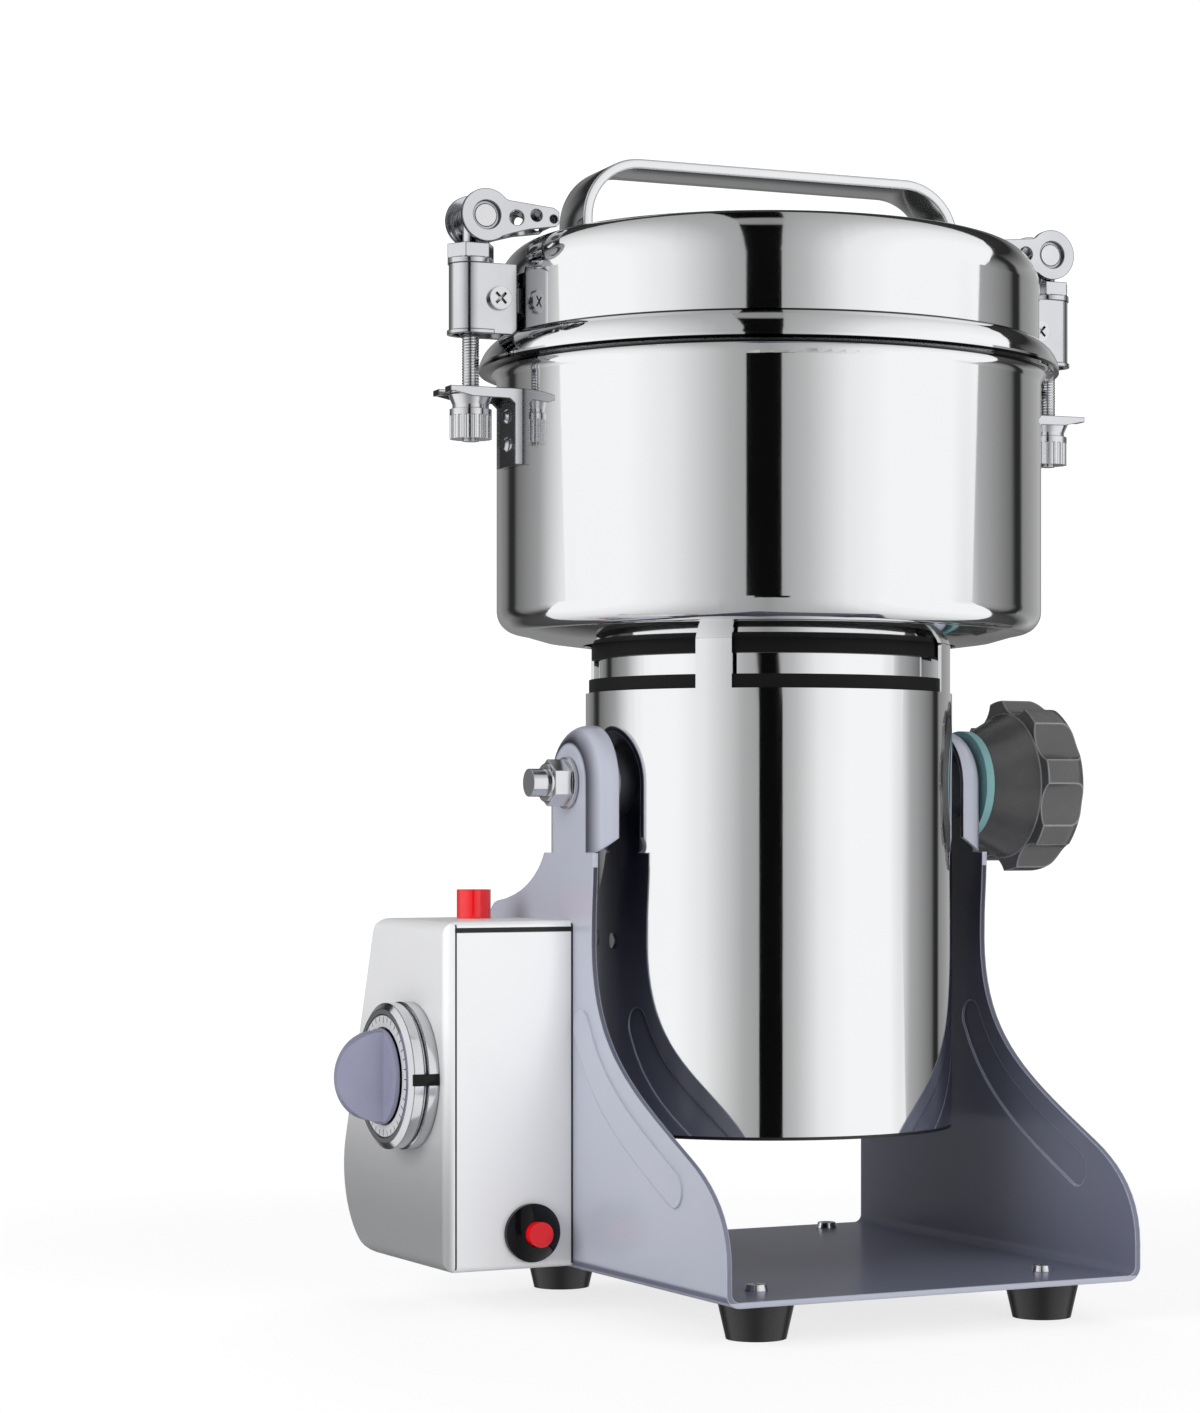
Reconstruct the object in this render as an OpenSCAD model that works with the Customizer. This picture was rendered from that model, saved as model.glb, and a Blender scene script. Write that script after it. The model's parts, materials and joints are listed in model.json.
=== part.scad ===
// Electric grain mill: a tilting grinding pot on a motor barrel, held in a bent sheet frame.
// Millimetres. +Z is up, +X is towards the star knob, -Y is the front that the pot pours over.
// The origin is on the table, at the middle of the footprint; on_axis() moves to the pot's axis.

/* [Frame] */
// Thickness of the frame's sheet
sheet = 2; // [1.6:0.1:2.4]
// Clear distance between the motor barrel and each side plate
side_gap = 12; // [11:0.5:14]
// Outer bend radius between the floor plate and the side plates
bend_r = 5; // [4:0.5:7]
// Reach of the frame in front of the tilt axis
frame_front = 122.5; // [112:0.5:130]
// Reach of the frame behind the tilt axis
frame_rear = 71; // [66:0.5:80]
// Height of the tilt axis over the table
axis_h = 188; // [184:1:196]
// Radius of the rounded plate top around the tilt axis
boss_r = 20.6; // [18:0.2:22]
// Depth of the inward rim around the plate top
rim_depth = 10.2; // [9:0.1:10.5]
// Bend radius of that rim
rim_bend = 8; // [6:0.5:8]
// Half depth of the plate's neck below the tilt axis
neck_half = 19.2; // [16:0.2:20]
// Width of the pressed stiffening rib
rib_w = 12.5; // [9:0.5:14]
// Distance of the rib's middle from the plate's front edge
rib_in = 13.7; // [12:0.1:16]
// Height that the rib stands proud of the sheet
rib_h = 0.9; // [0.6:0.1:1.2]

/* [Feet] */
// Height of a rubber foot
foot_h = 14; // [12:0.5:18]
// Radius of a foot at the frame
foot_top_r = 13.5; // [12:0.5:14]
// Radius of a foot at the table
foot_base_r = 10.3; // [9:0.1:11.5]
// Distance of a foot's middle in from the side plate
foot_in = 24.5; // [20:0.5:28]
// Distance of the front feet in front of the tilt axis
foot_front = 97; // [90:1:100]
// Distance of the rear feet behind the tilt axis
foot_rear = 58.5; // [50:1:60]
// Radius of the foot screws' shanks
foot_screw_r = 2; // [1.5:0.1:2.5]

/* [Control box] */
// Depth of the box, out from the frame's left plate
box_d = 49; // [46:0.1:56]
// Height of the box's underside over the table
box_z = 15.6; // [15:0.2:20]
// Height of the box
box_h = 123.4; // [118:0.2:126]
// Distance of the box's front face in front of the tilt axis
box_front = 4; // [0:0.5:8]
// Rear reach of the box's top behind the tilt axis
box_top_rear = 64.5; // [60:0.5:68]
// Rear reach of the box's bulge behind the tilt axis
box_rear = 93; // [90:0.5:96]
// Radius of the bulge at the bottom rear
box_bulge_r = 31; // [20:1:34]
// Radius of the box's top rear corner
box_top_r = 8; // [6:0.5:10]
// Rounding of the edges of the outer face
box_edge_r = 4; // [3:0.5:5]
// Wall thickness of the box
box_wall = 1.2; // [1:0.1:1.6]

/* [Timer] */
// Distance of the timer shaft behind the tilt axis
timer_y = 28; // [26:0.5:32]
// Height of the timer shaft over the table
timer_z = 83.4; // [80:0.2:88]
// Radius of the dial
dial_r = 26.4; // [24:0.2:28]
// Height of the dial
dial_h = 10.9; // [9:0.1:12]
// Radius of the half-round grip
grip_r = 16; // [15:0.1:18]
// Thickness of the grip at its root
grip_t = 11; // [9:0.5:12]
// Radius of the timer's stem
stem_r = 4; // [3:0.25:5]
// Depth of the timer's movement
timer_d = 26; // [22:1:30]

/* [Buttons] */
// Radius of the start button
start_r = 6.2; // [5.5:0.1:7]
// Height of the start button over the box
start_h = 10.5; // [9:0.5:12]
// Travel of the start button
start_travel = 3; // [2:0.5:4]
// Distance of the start button out from the left plate
start_x = 20.2; // [19:0.2:27]
// Distance of the start button behind the tilt axis
start_y = 38; // [35:0.5:42]
// Radius of the breaker's cap
cap_r = 10.4; // [9.5:0.1:10.8]
// Height of the breaker's cap
cap_h = 6; // [5:0.5:7]
// Radius of the reset button
reset_r = 4.5; // [4:0.1:5]
// Travel of the reset button
reset_travel = 2; // [1.5:0.25:2.5]
// Distance of the breaker out from the left plate
breaker_x = 16.3; // [15.5:0.1:21]
// Height of the breaker over the box's underside
breaker_z = 12.9; // [11:0.1:14]
// Height of the cord gland over the bulge at the box's bottom rear
gland_up = 10.6; // [9.4:0.2:20]
// Radius of the gland's cord hole
cord_r = 3.6; // [3:0.1:4]

/* [Star knob] */
// Radius of the star knob
knob_r = 32.5; // [29:0.5:34]
// Distance of the knob's inner face from the right plate
knob_gap = 20; // [16:0.5:22]
// Thickness of the star
knob_t = 18.5; // [16:0.5:22]
// Rounding of the star's outer edge
knob_round = 7; // [4:0.5:9]
// Number of lobes
knob_lobes = 8; // [6:1:10]
// Turn of the star at rest, in degrees
knob_turned = -9; // [-22:1:22]
// Radius of the friction washer
washer_r = 20.5; // [19:0.5:24]
// Thickness of the friction washer
washer_t = 3.25; // [3:0.25:5]
// Radius of the tilt bolts
bolt_r = 5; // [4.5:0.1:6]
// Reach of the left tilt bolt outside the left plate
bolt_reach = 15.5; // [15:0.5:24]
// Turn of the motor and pot about their axis against the frame, in degrees
pot_turn = -4.7; // [-8:0.1:8]

/* [Motor] */
// Outer radius of the motor barrel
barrel_r = 67.4; // [65.5:0.1:68.5]
// Wall thickness of the barrel
barrel_wall = 1.2; // [1:0.1:1.5]
// Reach of the barrel below the tilt axis
barrel_low = 124.3; // [120:0.5:128]
// Reach of the barrel above the tilt axis
barrel_up = 33; // [31:0.5:36]
// Radius of the motor shaft
shaft_r = 6; // [5:0.25:6.5]
// Outer radius of the stator
stator_r = 54; // [52:0.5:56]
// Bore radius of the stator
stator_bore = 30.6; // [28:0.2:31]
// Length of the stator
stator_l = 48; // [44:1:50]
// Air gap between stator and armature
air_gap = 0.6; // [0.4:0.1:1]
// Radius of the cooling fan
fan_r = 44; // [40:1:45]
// Outer radius of the ball bearings
bearing_r = 16; // [14:0.5:17]

/* [Neck] */
// Height from the barrel to the pot
neck_h = 22; // [20:0.5:25]
// Width of the four neck straps
strap_w = 13.3; // [11:0.1:16]
// Height of the lower black ring
neck_low_h = 5; // [4:0.25:6]
// Height of the steel ring
neck_mid_h = 7.5; // [6:0.25:9]
// Radius of the steel ring
neck_mid_r = 62.5; // [60:0.5:64]

/* [Pot] */
// Outer radius of the pot
pot_r = 100; // [97:0.5:101]
// Height of the pot
pot_h = 96.4; // [94:0.2:100]
// Wall thickness of the pot
pot_wall = 1.5; // [1.2:0.1:2]
// Outer corner radius at the pot's bottom
pot_corner = 8; // [6:0.5:10]
// Reach of the rim outside the pot's wall
rim_reach = 6.5; // [5:0.25:8]
// Thickness of the rim's flange
rim_t = 1.2; // [1:0.1:1.6]
// Radius of the hollow under the rim's flange
rim_hollow = 4.5; // [3:0.25:4.75]

/* [Lid] */
// Step from the pot's wall in to the lid's wall
lid_step = 0.5; // [0.3:0.1:4]
// Height of the lid over the seam
lid_h = 45.6; // [43.4:0.2:47]
// Radius of the lid's top corner
lid_corner = 16; // [14:0.5:18]
// Wall thickness of the lid
lid_wall = 1.5; // [1.2:0.1:2]
// Height of the lid's skirt
skirt_h = 9.3; // [8:0.1:10]
// Radius of the bow in the skirt's profile
skirt_bow = 14; // [12:0.5:20]
// How far in from the pot's wall each end of the handle stands
handle_in = 25.5; // [22:0.5:29]
// Height of the handle
handle_h = 27; // [25:0.5:34]
// Width of the handle's strap
handle_w = 25.5; // [23:0.5:27]
// Thickness of the handle's strap
handle_t = 3.5; // [2.5:0.25:4]
// Outer corner radius of the handle
handle_r = 22; // [14:0.5:24]
// Sideways offset of the handle from the lid's middle
handle_shift = -3; // [-4:0.5:4]

/* [Latches] */
// Distance of a latch rod out from the pot's wall
rod_out = 15.6; // [15.4:0.1:17]
// Radius of a latch rod
rod_r = 2.9; // [2.5:0.1:3.2]
// Radius of the knurled nut
nut_r = 7.7; // [7.4:0.1:8.4]
// Height of the knurled nut
nut_h = 15.5; // [14:0.1:19]
// Height of the seam over the fork's underside
fork_drop = 13.6; // [11:0.1:15]
// Thickness of the fork plate
fork_t = 2; // [1.6:0.1:2.4]
// Reach of the fork beyond the rod
fork_tip = 10.7; // [10:0.1:15]
// Half width of the fork plate
fork_half = 10; // [9.6:0.1:11]
// Outer radius of the latch bracket's wrap
wrap_r = 7.8; // [7.5:0.1:8]
// Sheet thickness of the latch bracket
wrap_t = 1.4; // [1.2:0.1:1.6]
// Height of the latch bracket
wrap_h = 25; // [23:0.5:27]
// Height of the bracket's lower edge over the seam
wrap_z = 7.6; // [6:0.1:9]
// Distance of the bracket screw in from the rod
screw_in = 8; // [7.6:0.1:8.6]
// Radius of the bracket screw
latch_screw_r = 2.2; // [1.8:0.1:2.4]
// Distance of the lever's pin in from the rod
pin_in = 2.9; // [2.5:0.1:4.5]
// Height of the lever's pin over the bracket's cap
pin_z = 9.7; // [9.5:0.1:10.8]
// Radius of the lever's pin
pin_r = 4; // [3.6:0.1:4.2]
// Travel of the rod when the lever opens
rod_travel = 3.5; // [3:0.1:3.6]
// Opening angle of the lever
lever_angle = 150; // [120:5:160]
// Radius of the lever's eye
eye_r = 9.3; // [8.4:0.1:9.4]
// Length of the lever, in from the rod
lever_l = 30; // [28:0.5:34]
// Half width over the lever's cheeks
lever_half = 9.6; // [9.4:0.1:10]

/* [Blades] */
// Clearance between the lower blade's tips and the pot's wall
blade_clear = 12; // [6:1:20]
// Width of a blade
blade_w = 24; // [20:1:28]
// Thickness of a blade
blade_t = 3; // [2.5:0.25:4]
// Distance between the two blades
blade_gap = 16; // [12:1:22]

/* [Fits] */
// Radial clearance of a turning or sliding fit
fit = 0.06; // [0.03:0.01:0.08]
// Clearance between pieces that move past each other
gap = 0.3; // [0.3:0.05:0.5]

/* [Hidden] */
$fn = 96;

// places that several pieces share
plate_x = barrel_r + side_gap + sheet;
foot_x = plate_x - foot_in;
barrel_z = axis_h - barrel_low;
barrel_top = axis_h + barrel_up;
lid_r = pot_r - lid_step;
rod_x = pot_r + rod_out;
screw_x = rod_x - screw_in;
pin_x = rod_x - pin_in;
lever_tip = rod_x - lever_l;
fork_reach = rod_x + fork_tip;
blade_reach = pot_r - blade_clear;
handle_l = 2 * (pot_r - handle_in);
plate_top = axis_h - 25;
box_x = -plate_x - box_d;
box_top = box_z + box_h;
pot_z = barrel_top + neck_h;
seam_z = pot_z + pot_h;
lid_top = seam_z + lid_h;
cap_z = seam_z + wrap_z + wrap_h;
cap_base_t = 2;
cap_hex_h = 5;
cap_hex_r = 7.5 / cos(30);
pin_h = cap_z + cap_base_t + cap_hex_h + pin_z;
knob_out = plate_x + knob_gap + knob_t;
dial_out = box_x - dial_h;
knob_base_t = 1.6;
grip_x = dial_out - gap - knob_base_t;

// the pot's axis in the part's frame: the footprint is centred on the origin
fork_out = fork_reach * cos(pot_turn) + fork_half * abs(sin(pot_turn));
axis_x = (-max(knob_out, fork_out) - (grip_x - grip_r)) / 2;
axis_y = (frame_front - pot_r - rim_reach) / 2;

module on_axis() translate([axis_x, axis_y, 0]) children();
module on_pot() on_axis() rotate([0, 0, pot_turn]) children();

// one latch at local +X; side is 1 on the right and -1 on the left
module on_latch(side)
  on_pot() {
    if (side > 0) children();
    else mirror([1, 0, 0]) children();
  }

// a bar along X, from x0 to x1
module bar_x(x0, x1, r) translate([x0, 0, 0]) rotate([0, 90, 0]) cylinder(h = x1 - x0, r = r);
// a bar along Y, from y0 to y1
module bar_y(y0, y1, r) translate([0, y1, 0]) rotate([90, 0, 0]) cylinder(h = y1 - y0, r = r);
// a ring on Z
module ring(r_out, r_in, h)
  difference() {
    cylinder(h = h, r = r_out);
    translate([0, 0, -1]) cylinder(h = h + 2, r = r_in);
  }
// a profile drawn in (Y, Z), extruded along X from x0 to x1
module yz(x0, x1) translate([x0, 0, 0]) rotate([90, 0, 90]) linear_extrude(x1 - x0) children();
// a profile drawn in (X, Z), extruded along Y from y0 to y1
module xz(y0, y1) translate([0, y1, 0]) rotate([90, 0, 0]) linear_extrude(y1 - y0) children();

// a point of a cubic curve, and the whole curve
function curve_at(a, b, c, d, t) =
  (1 - t) * (1 - t) * (1 - t) * a + 3 * (1 - t) * (1 - t) * t * b + 3 * (1 - t) * t * t * c + t * t * t * d;
function curve_dir(a, b, c, d, t) =
  let (v = (1 - t) * (1 - t) * (b - a) + 2 * (1 - t) * t * (c - b) + t * t * (d - c)) v / norm(v);
function curve(a, b, c, d, n) = [for (i = [0:n]) curve_at(a, b, c, d, i / n)];

// ---- frame ----

// the sweep of the plate's front edge, from the nose up to the neck
nose_end = [-frame_front + 27.5, foot_h + 46.5];
neck_low = [-neck_half, axis_h - 52];
sweep_a = nose_end + [49, 22.3];
sweep_b = neck_low - [-2.2, 41];

function side_outline() = concat(
  [[-frame_front, foot_h]],
  curve([-frame_front, foot_h + 13], [-frame_front, foot_h + 29], nose_end - [16, 7.3], nose_end, 10),
  curve(nose_end, sweep_a, sweep_b, neck_low, 20),
  curve(neck_low, neck_low + [0, 9], [-boss_r, plate_top - 12], [-boss_r, plate_top], 6),
  curve([boss_r, plate_top], [boss_r + 5, plate_top - 8], [boss_r + 18, plate_top - 16],
    [frame_rear - 8.3, plate_top - 18.2], 8),
  [for (a = [80:-16:0]) [frame_rear - 10 + 10 * cos(a), plate_top - 28 + 10 * sin(a)]],
  [[frame_rear, foot_h]]
);

// the frame's bent section, drawn in (X, Z) over the floor plate's underside
module channel_section(inset) {
  r = bend_r - inset;
  half = plate_x - inset;
  translate([-half, inset + r]) square([2 * half, axis_h]);
  translate([-half + r, inset]) square([2 * half - 2 * r, axis_h]);
  for (s = [-1, 1]) translate([s * (half - r), inset + r]) circle(r);
}

// the rounded form of the plate's top, standing on its outer face and reaching inwards
module boss_form(inset) {
  r = boss_r - inset;
  b = rim_bend - inset;
  low = axis_h - plate_top + (inset > 0 ? 1 : 0);
  rotate([0, 90, 0]) rotate_extrude() boss_section(r, b, inset);
  translate([0, 0, -low]) linear_extrude(low)
    for (m = [0, 1]) mirror([0, m]) rotate(90) mirror([0, 1]) boss_section(r, b, inset);
}
// the rim runs out slantwise at its lower end
module boss_slant()
  xz(-boss_r - 1, boss_r + 1) polygon([[sheet, plate_top - axis_h - 1], [sheet, plate_top - axis_h],
    [rim_depth + 1, plate_top - axis_h + 6], [rim_depth + 1, plate_top - axis_h - 1]]);
// half of that form's section: the radius along X, the depth along Y
module boss_section(r, b, inset) {
  translate([0, inset]) square([r - b, rim_depth - inset + (inset > 0 ? 1 : 0)]);
  translate([0, inset + b]) square([r, rim_depth - inset - b + (inset > 0 ? 1 : 0)]);
  intersection() {
    translate([r - b, inset + b]) circle(b);
    translate([0, inset]) square([r, b]);
  }
}

// the pressed rib's middle line runs beside the front sweep
rib_points = [for (i = [0:11])
  let (t = (i + 0.5) / 16, d = curve_dir(nose_end, sweep_a, sweep_b, neck_low, t))
  curve_at(nose_end, sweep_a, sweep_b, neck_low, t) + rib_in * [d[1], -d[0]]];
function rib_side(s) = [for (i = [0:len(rib_points) - 1])
  let (a = rib_points[max(i - 1, 0)], b = rib_points[min(i + 1, len(rib_points) - 1)], d = (b - a) / norm(b - a))
  rib_points[i] + s * rib_w / 2 * [d[1], -d[0]]];
function rib_end(i, j) =
  let (p = rib_points[i], d = (p - rib_points[j]) / norm(p - rib_points[j]), n = [d[1], -d[0]])
  [for (a = [75:-15:-75]) p + rib_w / 2 * (n * sin(a) + d * cos(a))];
module rib_2d()
  polygon(concat(rib_side(1), rib_end(len(rib_points) - 1, len(rib_points) - 2),
    [for (i = [len(rib_points) - 1:-1:0]) rib_side(-1)[i]], rib_end(0, 1)));

module base_frame()
  on_axis() color("#a3a5b8") difference() {
    union() {
      intersection() {
        translate([0, 0, foot_h]) xz(-frame_front, frame_rear)
          difference() {
            channel_section(0);
            channel_section(sheet);
          }
        yz(-plate_x, plate_x) polygon(side_outline());
      }
      for (s = [0, 1]) mirror([s, 0, 0]) {
        translate([-plate_x, 0, axis_h]) difference() {
          boss_form(0);
          boss_form(sheet);
          boss_slant();
        }
        yz(-plate_x - rib_h, -plate_x) rib_2d();
      }
    }
    translate([0, 0, axis_h]) bar_x(-plate_x - 5, plate_x + 5, bolt_r + fit);
    for (s = [0, 1]) mirror([s, 0, 0]) yz(-plate_x + sheet - rib_h, -plate_x + sheet + 1) rib_2d();
    at_feet() translate([0, 0, foot_h - 1]) cylinder(h = sheet + 2, r = foot_screw_r + 0.2);
    box_screw_places() bar_x(-plate_x - 1, -plate_x + sheet + 1, box_screw_r + 0.15);
  }

// ---- feet ----

module at_feet()
  for (x = [-foot_x, foot_x], y = [-foot_front, foot_rear]) translate([x, y, 0]) children();

module feet()
  on_axis() color("#1a1a1c") at_feet() difference() {
    cylinder(h = foot_h, r1 = foot_base_r, r2 = foot_top_r);
    translate([0, 0, foot_h - 9]) cylinder(h = 10, r = foot_screw_r);
  }

module foot_screws()
  on_axis() color("#d8d8dc") at_feet() {
    translate([0, 0, foot_h - 8.5]) cylinder(h = 8.5 + sheet, r = foot_screw_r);
    translate([0, 0, foot_h + sheet]) difference() {
      cylinder(h = 2.2, r1 = foot_screw_r + 2, r2 = foot_screw_r + 1.4);
      for (a = [0, 90]) rotate(a) translate([-1.9, -0.35, 1.2]) cube([3.8, 0.7, 2]);
    }
  }

// ---- control box ----

box_screw_r = 1.5;
box_tab = 8;
// the blocks' places behind the tilt axis, along the box's floor and under its top
low_tabs = [3.5 * box_tab, frame_rear - 1.5 * box_tab];
high_tabs = [box_tab, box_top_rear - 2 * box_tab];

// the box's side outline, drawn in (Y, Z)
module box_outline(inset) {
  r = box_bulge_r - inset;
  q = box_top_r - inset;
  f = 2 * box_wall - inset;
  c = [box_top_rear - box_top_r, box_top - box_top_r];
  d = [box_rear - box_bulge_r, box_z + box_bulge_r];
  a = acos((box_top_r - box_bulge_r) / norm(d - c)) + atan2(d[1] - c[1], d[0] - c[0]);
  n = [cos(a), sin(a)];
  fy = -box_front + 2 * box_wall;
  low = [fy, box_z + 2 * box_wall];
  high = [fy, box_top - 2 * box_wall];
  translate(c) circle(q);
  translate(d) circle(r);
  translate(low) circle(f);
  translate(high) circle(f);
  polygon([low + [0, -f], [d[0], d[1] - r], d + r * n, c + q * n, [c[0], c[1] + q], high + [0, f],
    high + [-f, 0], low + [-f, 0]]);
}
// the slope of the box's back, as the angle of its outward normal over the horizontal
function back_slope() =
  let (c = [box_top_rear - box_top_r, box_top - box_top_r], d = [box_rear - box_bulge_r, box_z + box_bulge_r])
  acos((box_top_r - box_bulge_r) / norm(d - c)) + atan2(d[1] - c[1], d[0] - c[0]);
// the distance of the back's face behind the tilt axis at height z
function back_y(z) =
  let (d = [box_rear - box_bulge_r, box_z + box_bulge_r], a = back_slope(), p = d + box_bulge_r * [cos(a), sin(a)])
  p[0] - (z - p[1]) * tan(a);

module box_form(inset) {
  r = box_edge_r - inset;
  x0 = box_x + inset;
  z0 = box_z + inset;
  z1 = box_top - inset;
  intersection() {
    yz(x0, -plate_x + (inset > 0 ? 1 : 0)) box_outline(inset);
    xz(-box_front - 5, box_rear + 5) {
      translate([x0 + r, z0]) square([box_d + 5, z1 - z0]);
      translate([x0, z0 + r]) square([box_d + 5, z1 - z0 - 2 * r]);
      for (z = [z0 + r, z1 - r]) translate([x0 + r, z]) circle(r);
    }
    translate([0, 0, box_z - 5]) linear_extrude(box_h + 10) {
      translate([x0 + r, -box_front + inset]) square([box_d + 5, 130]);
      translate([x0, -box_front + inset + r]) square([box_d + 5, 130]);
      translate([x0 + r, -box_front + inset + r]) circle(r);
    }
  }
}

module box_screw_places()
  for (p = [[low_tabs[0], box_z + box_tab], [low_tabs[1], box_z + box_tab],
    [high_tabs[0], box_top - box_tab], [high_tabs[1], box_top - box_tab]])
    translate([0, p[0], p[1]]) children();

module at_start() translate([-plate_x - start_x, start_y, box_top]) children();
module at_breaker() translate([-plate_x - breaker_x, -box_front, box_z + breaker_z]) children();
gland_x = -plate_x - box_d / 2;
// the gland's height over the table: it stands on the flat of the back, clear of the bulge
function gland_z() = box_z + box_bulge_r * (1 + sin(back_slope())) + gland_up;
module at_gland()
  translate([gland_x, back_y(gland_z()), gland_z()]) rotate([back_slope(), 0, 0]) children();
gland_neck_r = cord_r + 2.4;
breaker_neck_r = 6;

module box_cover()
  on_axis() color("#c9c9cb") difference() {
    union() {
      difference() {
        box_form(0);
        box_form(box_wall);
      }
      // four tapped blocks inside the open edge
      box_screw_places() translate([-plate_x - 9, -box_tab / 2, -box_tab / 2]) cube([9, box_tab, box_tab]);
      for (y = low_tabs)
        translate([-plate_x - 9, y - box_tab / 2, box_z + box_wall / 2]) cube([9, box_tab, box_tab]);
      for (y = high_tabs)
        translate([-plate_x - 9, y - box_tab / 2, box_top - box_tab - box_wall / 2]) cube([9, box_tab, box_tab]);
    }
    box_screw_places() bar_x(-plate_x - 8, -plate_x + 1, box_screw_r);
    translate([0, timer_y, timer_z]) bar_x(box_x - 1, box_x + box_wall + 1, stem_r + 2);
    at_start() translate([0, 0, -box_wall - 1]) cylinder(h = box_wall + 2, r = start_r + gap);
    at_breaker() bar_y(-1, box_wall + 1, breaker_neck_r);
    at_gland() bar_y(-box_wall - 3, 3, gland_neck_r);
  }

module box_screws()
  on_axis() color("#d8d8dc") box_screw_places() {
    bar_x(-plate_x - 7.5, -plate_x + sheet, box_screw_r);
    bar_x(-plate_x + sheet, -plate_x + sheet + 2, box_screw_r + 1.4);
  }

// ---- timer ----

module at_timer() translate([0, timer_y, timer_z]) children();
movement_w = 42;

module timer_movement()
  on_axis() color("#e6e2d6") at_timer() difference() {
    translate([box_x + box_wall, -movement_w / 2, -movement_w / 2]) cube([timer_d, movement_w, movement_w]);
    bar_x(box_x, box_x + box_wall + 12, stem_r + fit);
  }

// the chrome dial: two stepped rings and a chamfered face with a shallow well
module timer_dial()
  on_axis() color("#d9dadc") at_timer() translate([box_x, 0, 0]) rotate([0, -90, 0])
    rotate_extrude() difference() {
      polygon([[stem_r + 1, 0], [dial_r, 0], [dial_r, 0.37 * dial_h], [dial_r - 1.2, 0.42 * dial_h],
        [dial_r - 1.2, 0.48 * dial_h], [dial_r - 0.3, 0.52 * dial_h], [dial_r - 0.3, 0.86 * dial_h],
        [dial_r - 2.5, dial_h], [stem_r + 1, dial_h]]);
      translate([0, dial_h - 0.5]) square([dial_r - 4.5, 1]);
    }

// the knob: a round skirt, a half-round grip that tapers to its edge, and the stem into the movement
module timer_knob()
  on_axis() color("#9b9cb3") at_timer() {
    bar_x(grip_x, grip_x + knob_base_t, grip_r + 1);
    intersection() {
      translate([grip_x, 0, 0]) bar_y(-grip_t, grip_t, grip_r);
      translate([0, 0, -grip_r - 1]) linear_extrude(2 * grip_r + 2)
        polygon([[grip_x, -grip_t / 2], [grip_x - grip_r, -1.6], [grip_x - grip_r, 1.6], [grip_x, grip_t / 2]]);
    }
    bar_x(grip_x + knob_base_t, box_x + box_wall + 11, stem_r);
  }

// ---- buttons ----

button_flange_t = 2;
button_stem = 6;
switch_h = 22;

module start_button()
  on_axis() color("#c8141c") at_start() {
    translate([0, 0, -box_wall - gap]) cylinder(h = start_h + box_wall + gap, r = start_r);
    translate([0, 0, -box_wall - gap - button_flange_t]) cylinder(h = button_flange_t, r = start_r + 1.5);
    translate([0, 0, -box_wall - gap - button_flange_t - button_stem]) cylinder(h = button_stem, r = 2.5);
  }

// the switch hangs under the box's top on two legs, and takes the button's stem in its bore
module start_switch()
  on_axis() color("#26262a") at_start() {
    difference() {
      translate([-9, -9, -box_wall - 8 - switch_h]) cube([18, 18, switch_h]);
      translate([0, 0, -box_wall - 8 - 5]) cylinder(h = 6, r = 2.5 + fit);
    }
    for (s = [-1, 1]) translate([s * 10.5 - 1, -4, -box_wall - 8 - switch_h]) cube([2, 8, switch_h + 8]);
    for (s = [-1, 1]) translate([s * 9.5 - 1, -4, -box_wall - 8 - 6]) cube([2, 8, 4]);
  }

module breaker_body()
  on_axis() color("#2a2a2e") at_breaker() difference() {
    union() {
      translate([-8, box_wall, -8]) cube([16, 24, 16]);
      bar_y(-0.01, box_wall + 0.01, breaker_neck_r);
    }
    bar_y(-1, box_wall + 10, reset_r + fit);
  }

// the breaker's cap is a low dome; cap_edge is its height at the rim
cap_edge = 2;
dome_r = (cap_r * cap_r + (cap_h - cap_edge) * (cap_h - cap_edge)) / (cap_h - cap_edge) / 2;
module breaker_cap()
  on_axis() color("#111113") at_breaker() rotate([90, 0, 0]) rotate_extrude() difference() {
    intersection() {
      square([cap_r, cap_h]);
      translate([0, cap_h - dome_r]) circle(dome_r);
    }
    translate([0, -1]) square([reset_r + gap, cap_h + 2]);
  }

module reset_button()
  on_axis() color("#e0161c") at_breaker() bar_y(-cap_h - 3, box_wall + 7, reset_r);

// the gland: a flange outside, a neck through the wall and a nut inside
module cord_gland()
  on_axis() color("#17171a") at_gland() difference() {
    union() {
      bar_y(-box_wall - 7, 8, gland_neck_r);
      bar_y(0, 3, gland_neck_r + 3.5);
      bar_y(-box_wall - 4, -box_wall, gland_neck_r + 3);
    }
    bar_y(-box_wall - 8, 9, cord_r);
  }

// ---- star knob and tilt bolts ----

// the washer and the knob start at the right plate's outer face
module at_plate() translate([plate_x, 0, axis_h]) children();
hub_gap = washer_t + 2 * gap;

module friction_washer()
  on_axis() color("#6f9a9c") at_plate() translate([gap, 0, 0]) difference() {
    bar_x(0, washer_t, washer_r);
    bar_x(-1, washer_t + 1, bolt_r + fit);
  }

module star_section() {
  square([knob_r, knob_t - knob_round]);
  square([knob_r - knob_round, knob_t]);
  translate([knob_r - knob_round, knob_t - knob_round]) circle(knob_round);
}

module star_knob()
  on_axis() color("#4b4b4c") at_plate() difference() {
    union() {
      translate([hub_gap, 0, 0]) rotate([0, 90, 0])
        cylinder(h = knob_gap - hub_gap, r1 = 0.58 * knob_r, r2 = 0.84 * knob_r);
      translate([knob_gap, 0, 0]) rotate([0, 90, 0]) rotate(knob_turned) difference() {
        rotate_extrude() star_section();
        for (i = [0:knob_lobes - 1]) rotate((i + 0.5) * 360 / knob_lobes)
          translate([1.2 * knob_r, 0, -1]) cylinder(h = knob_t + 2, r = 0.34 * knob_r);
      }
    }
    bar_x(0, stud_end + 0.5, bolt_r + fit);
  }
stud_end = knob_gap + knob_t - 3;

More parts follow.
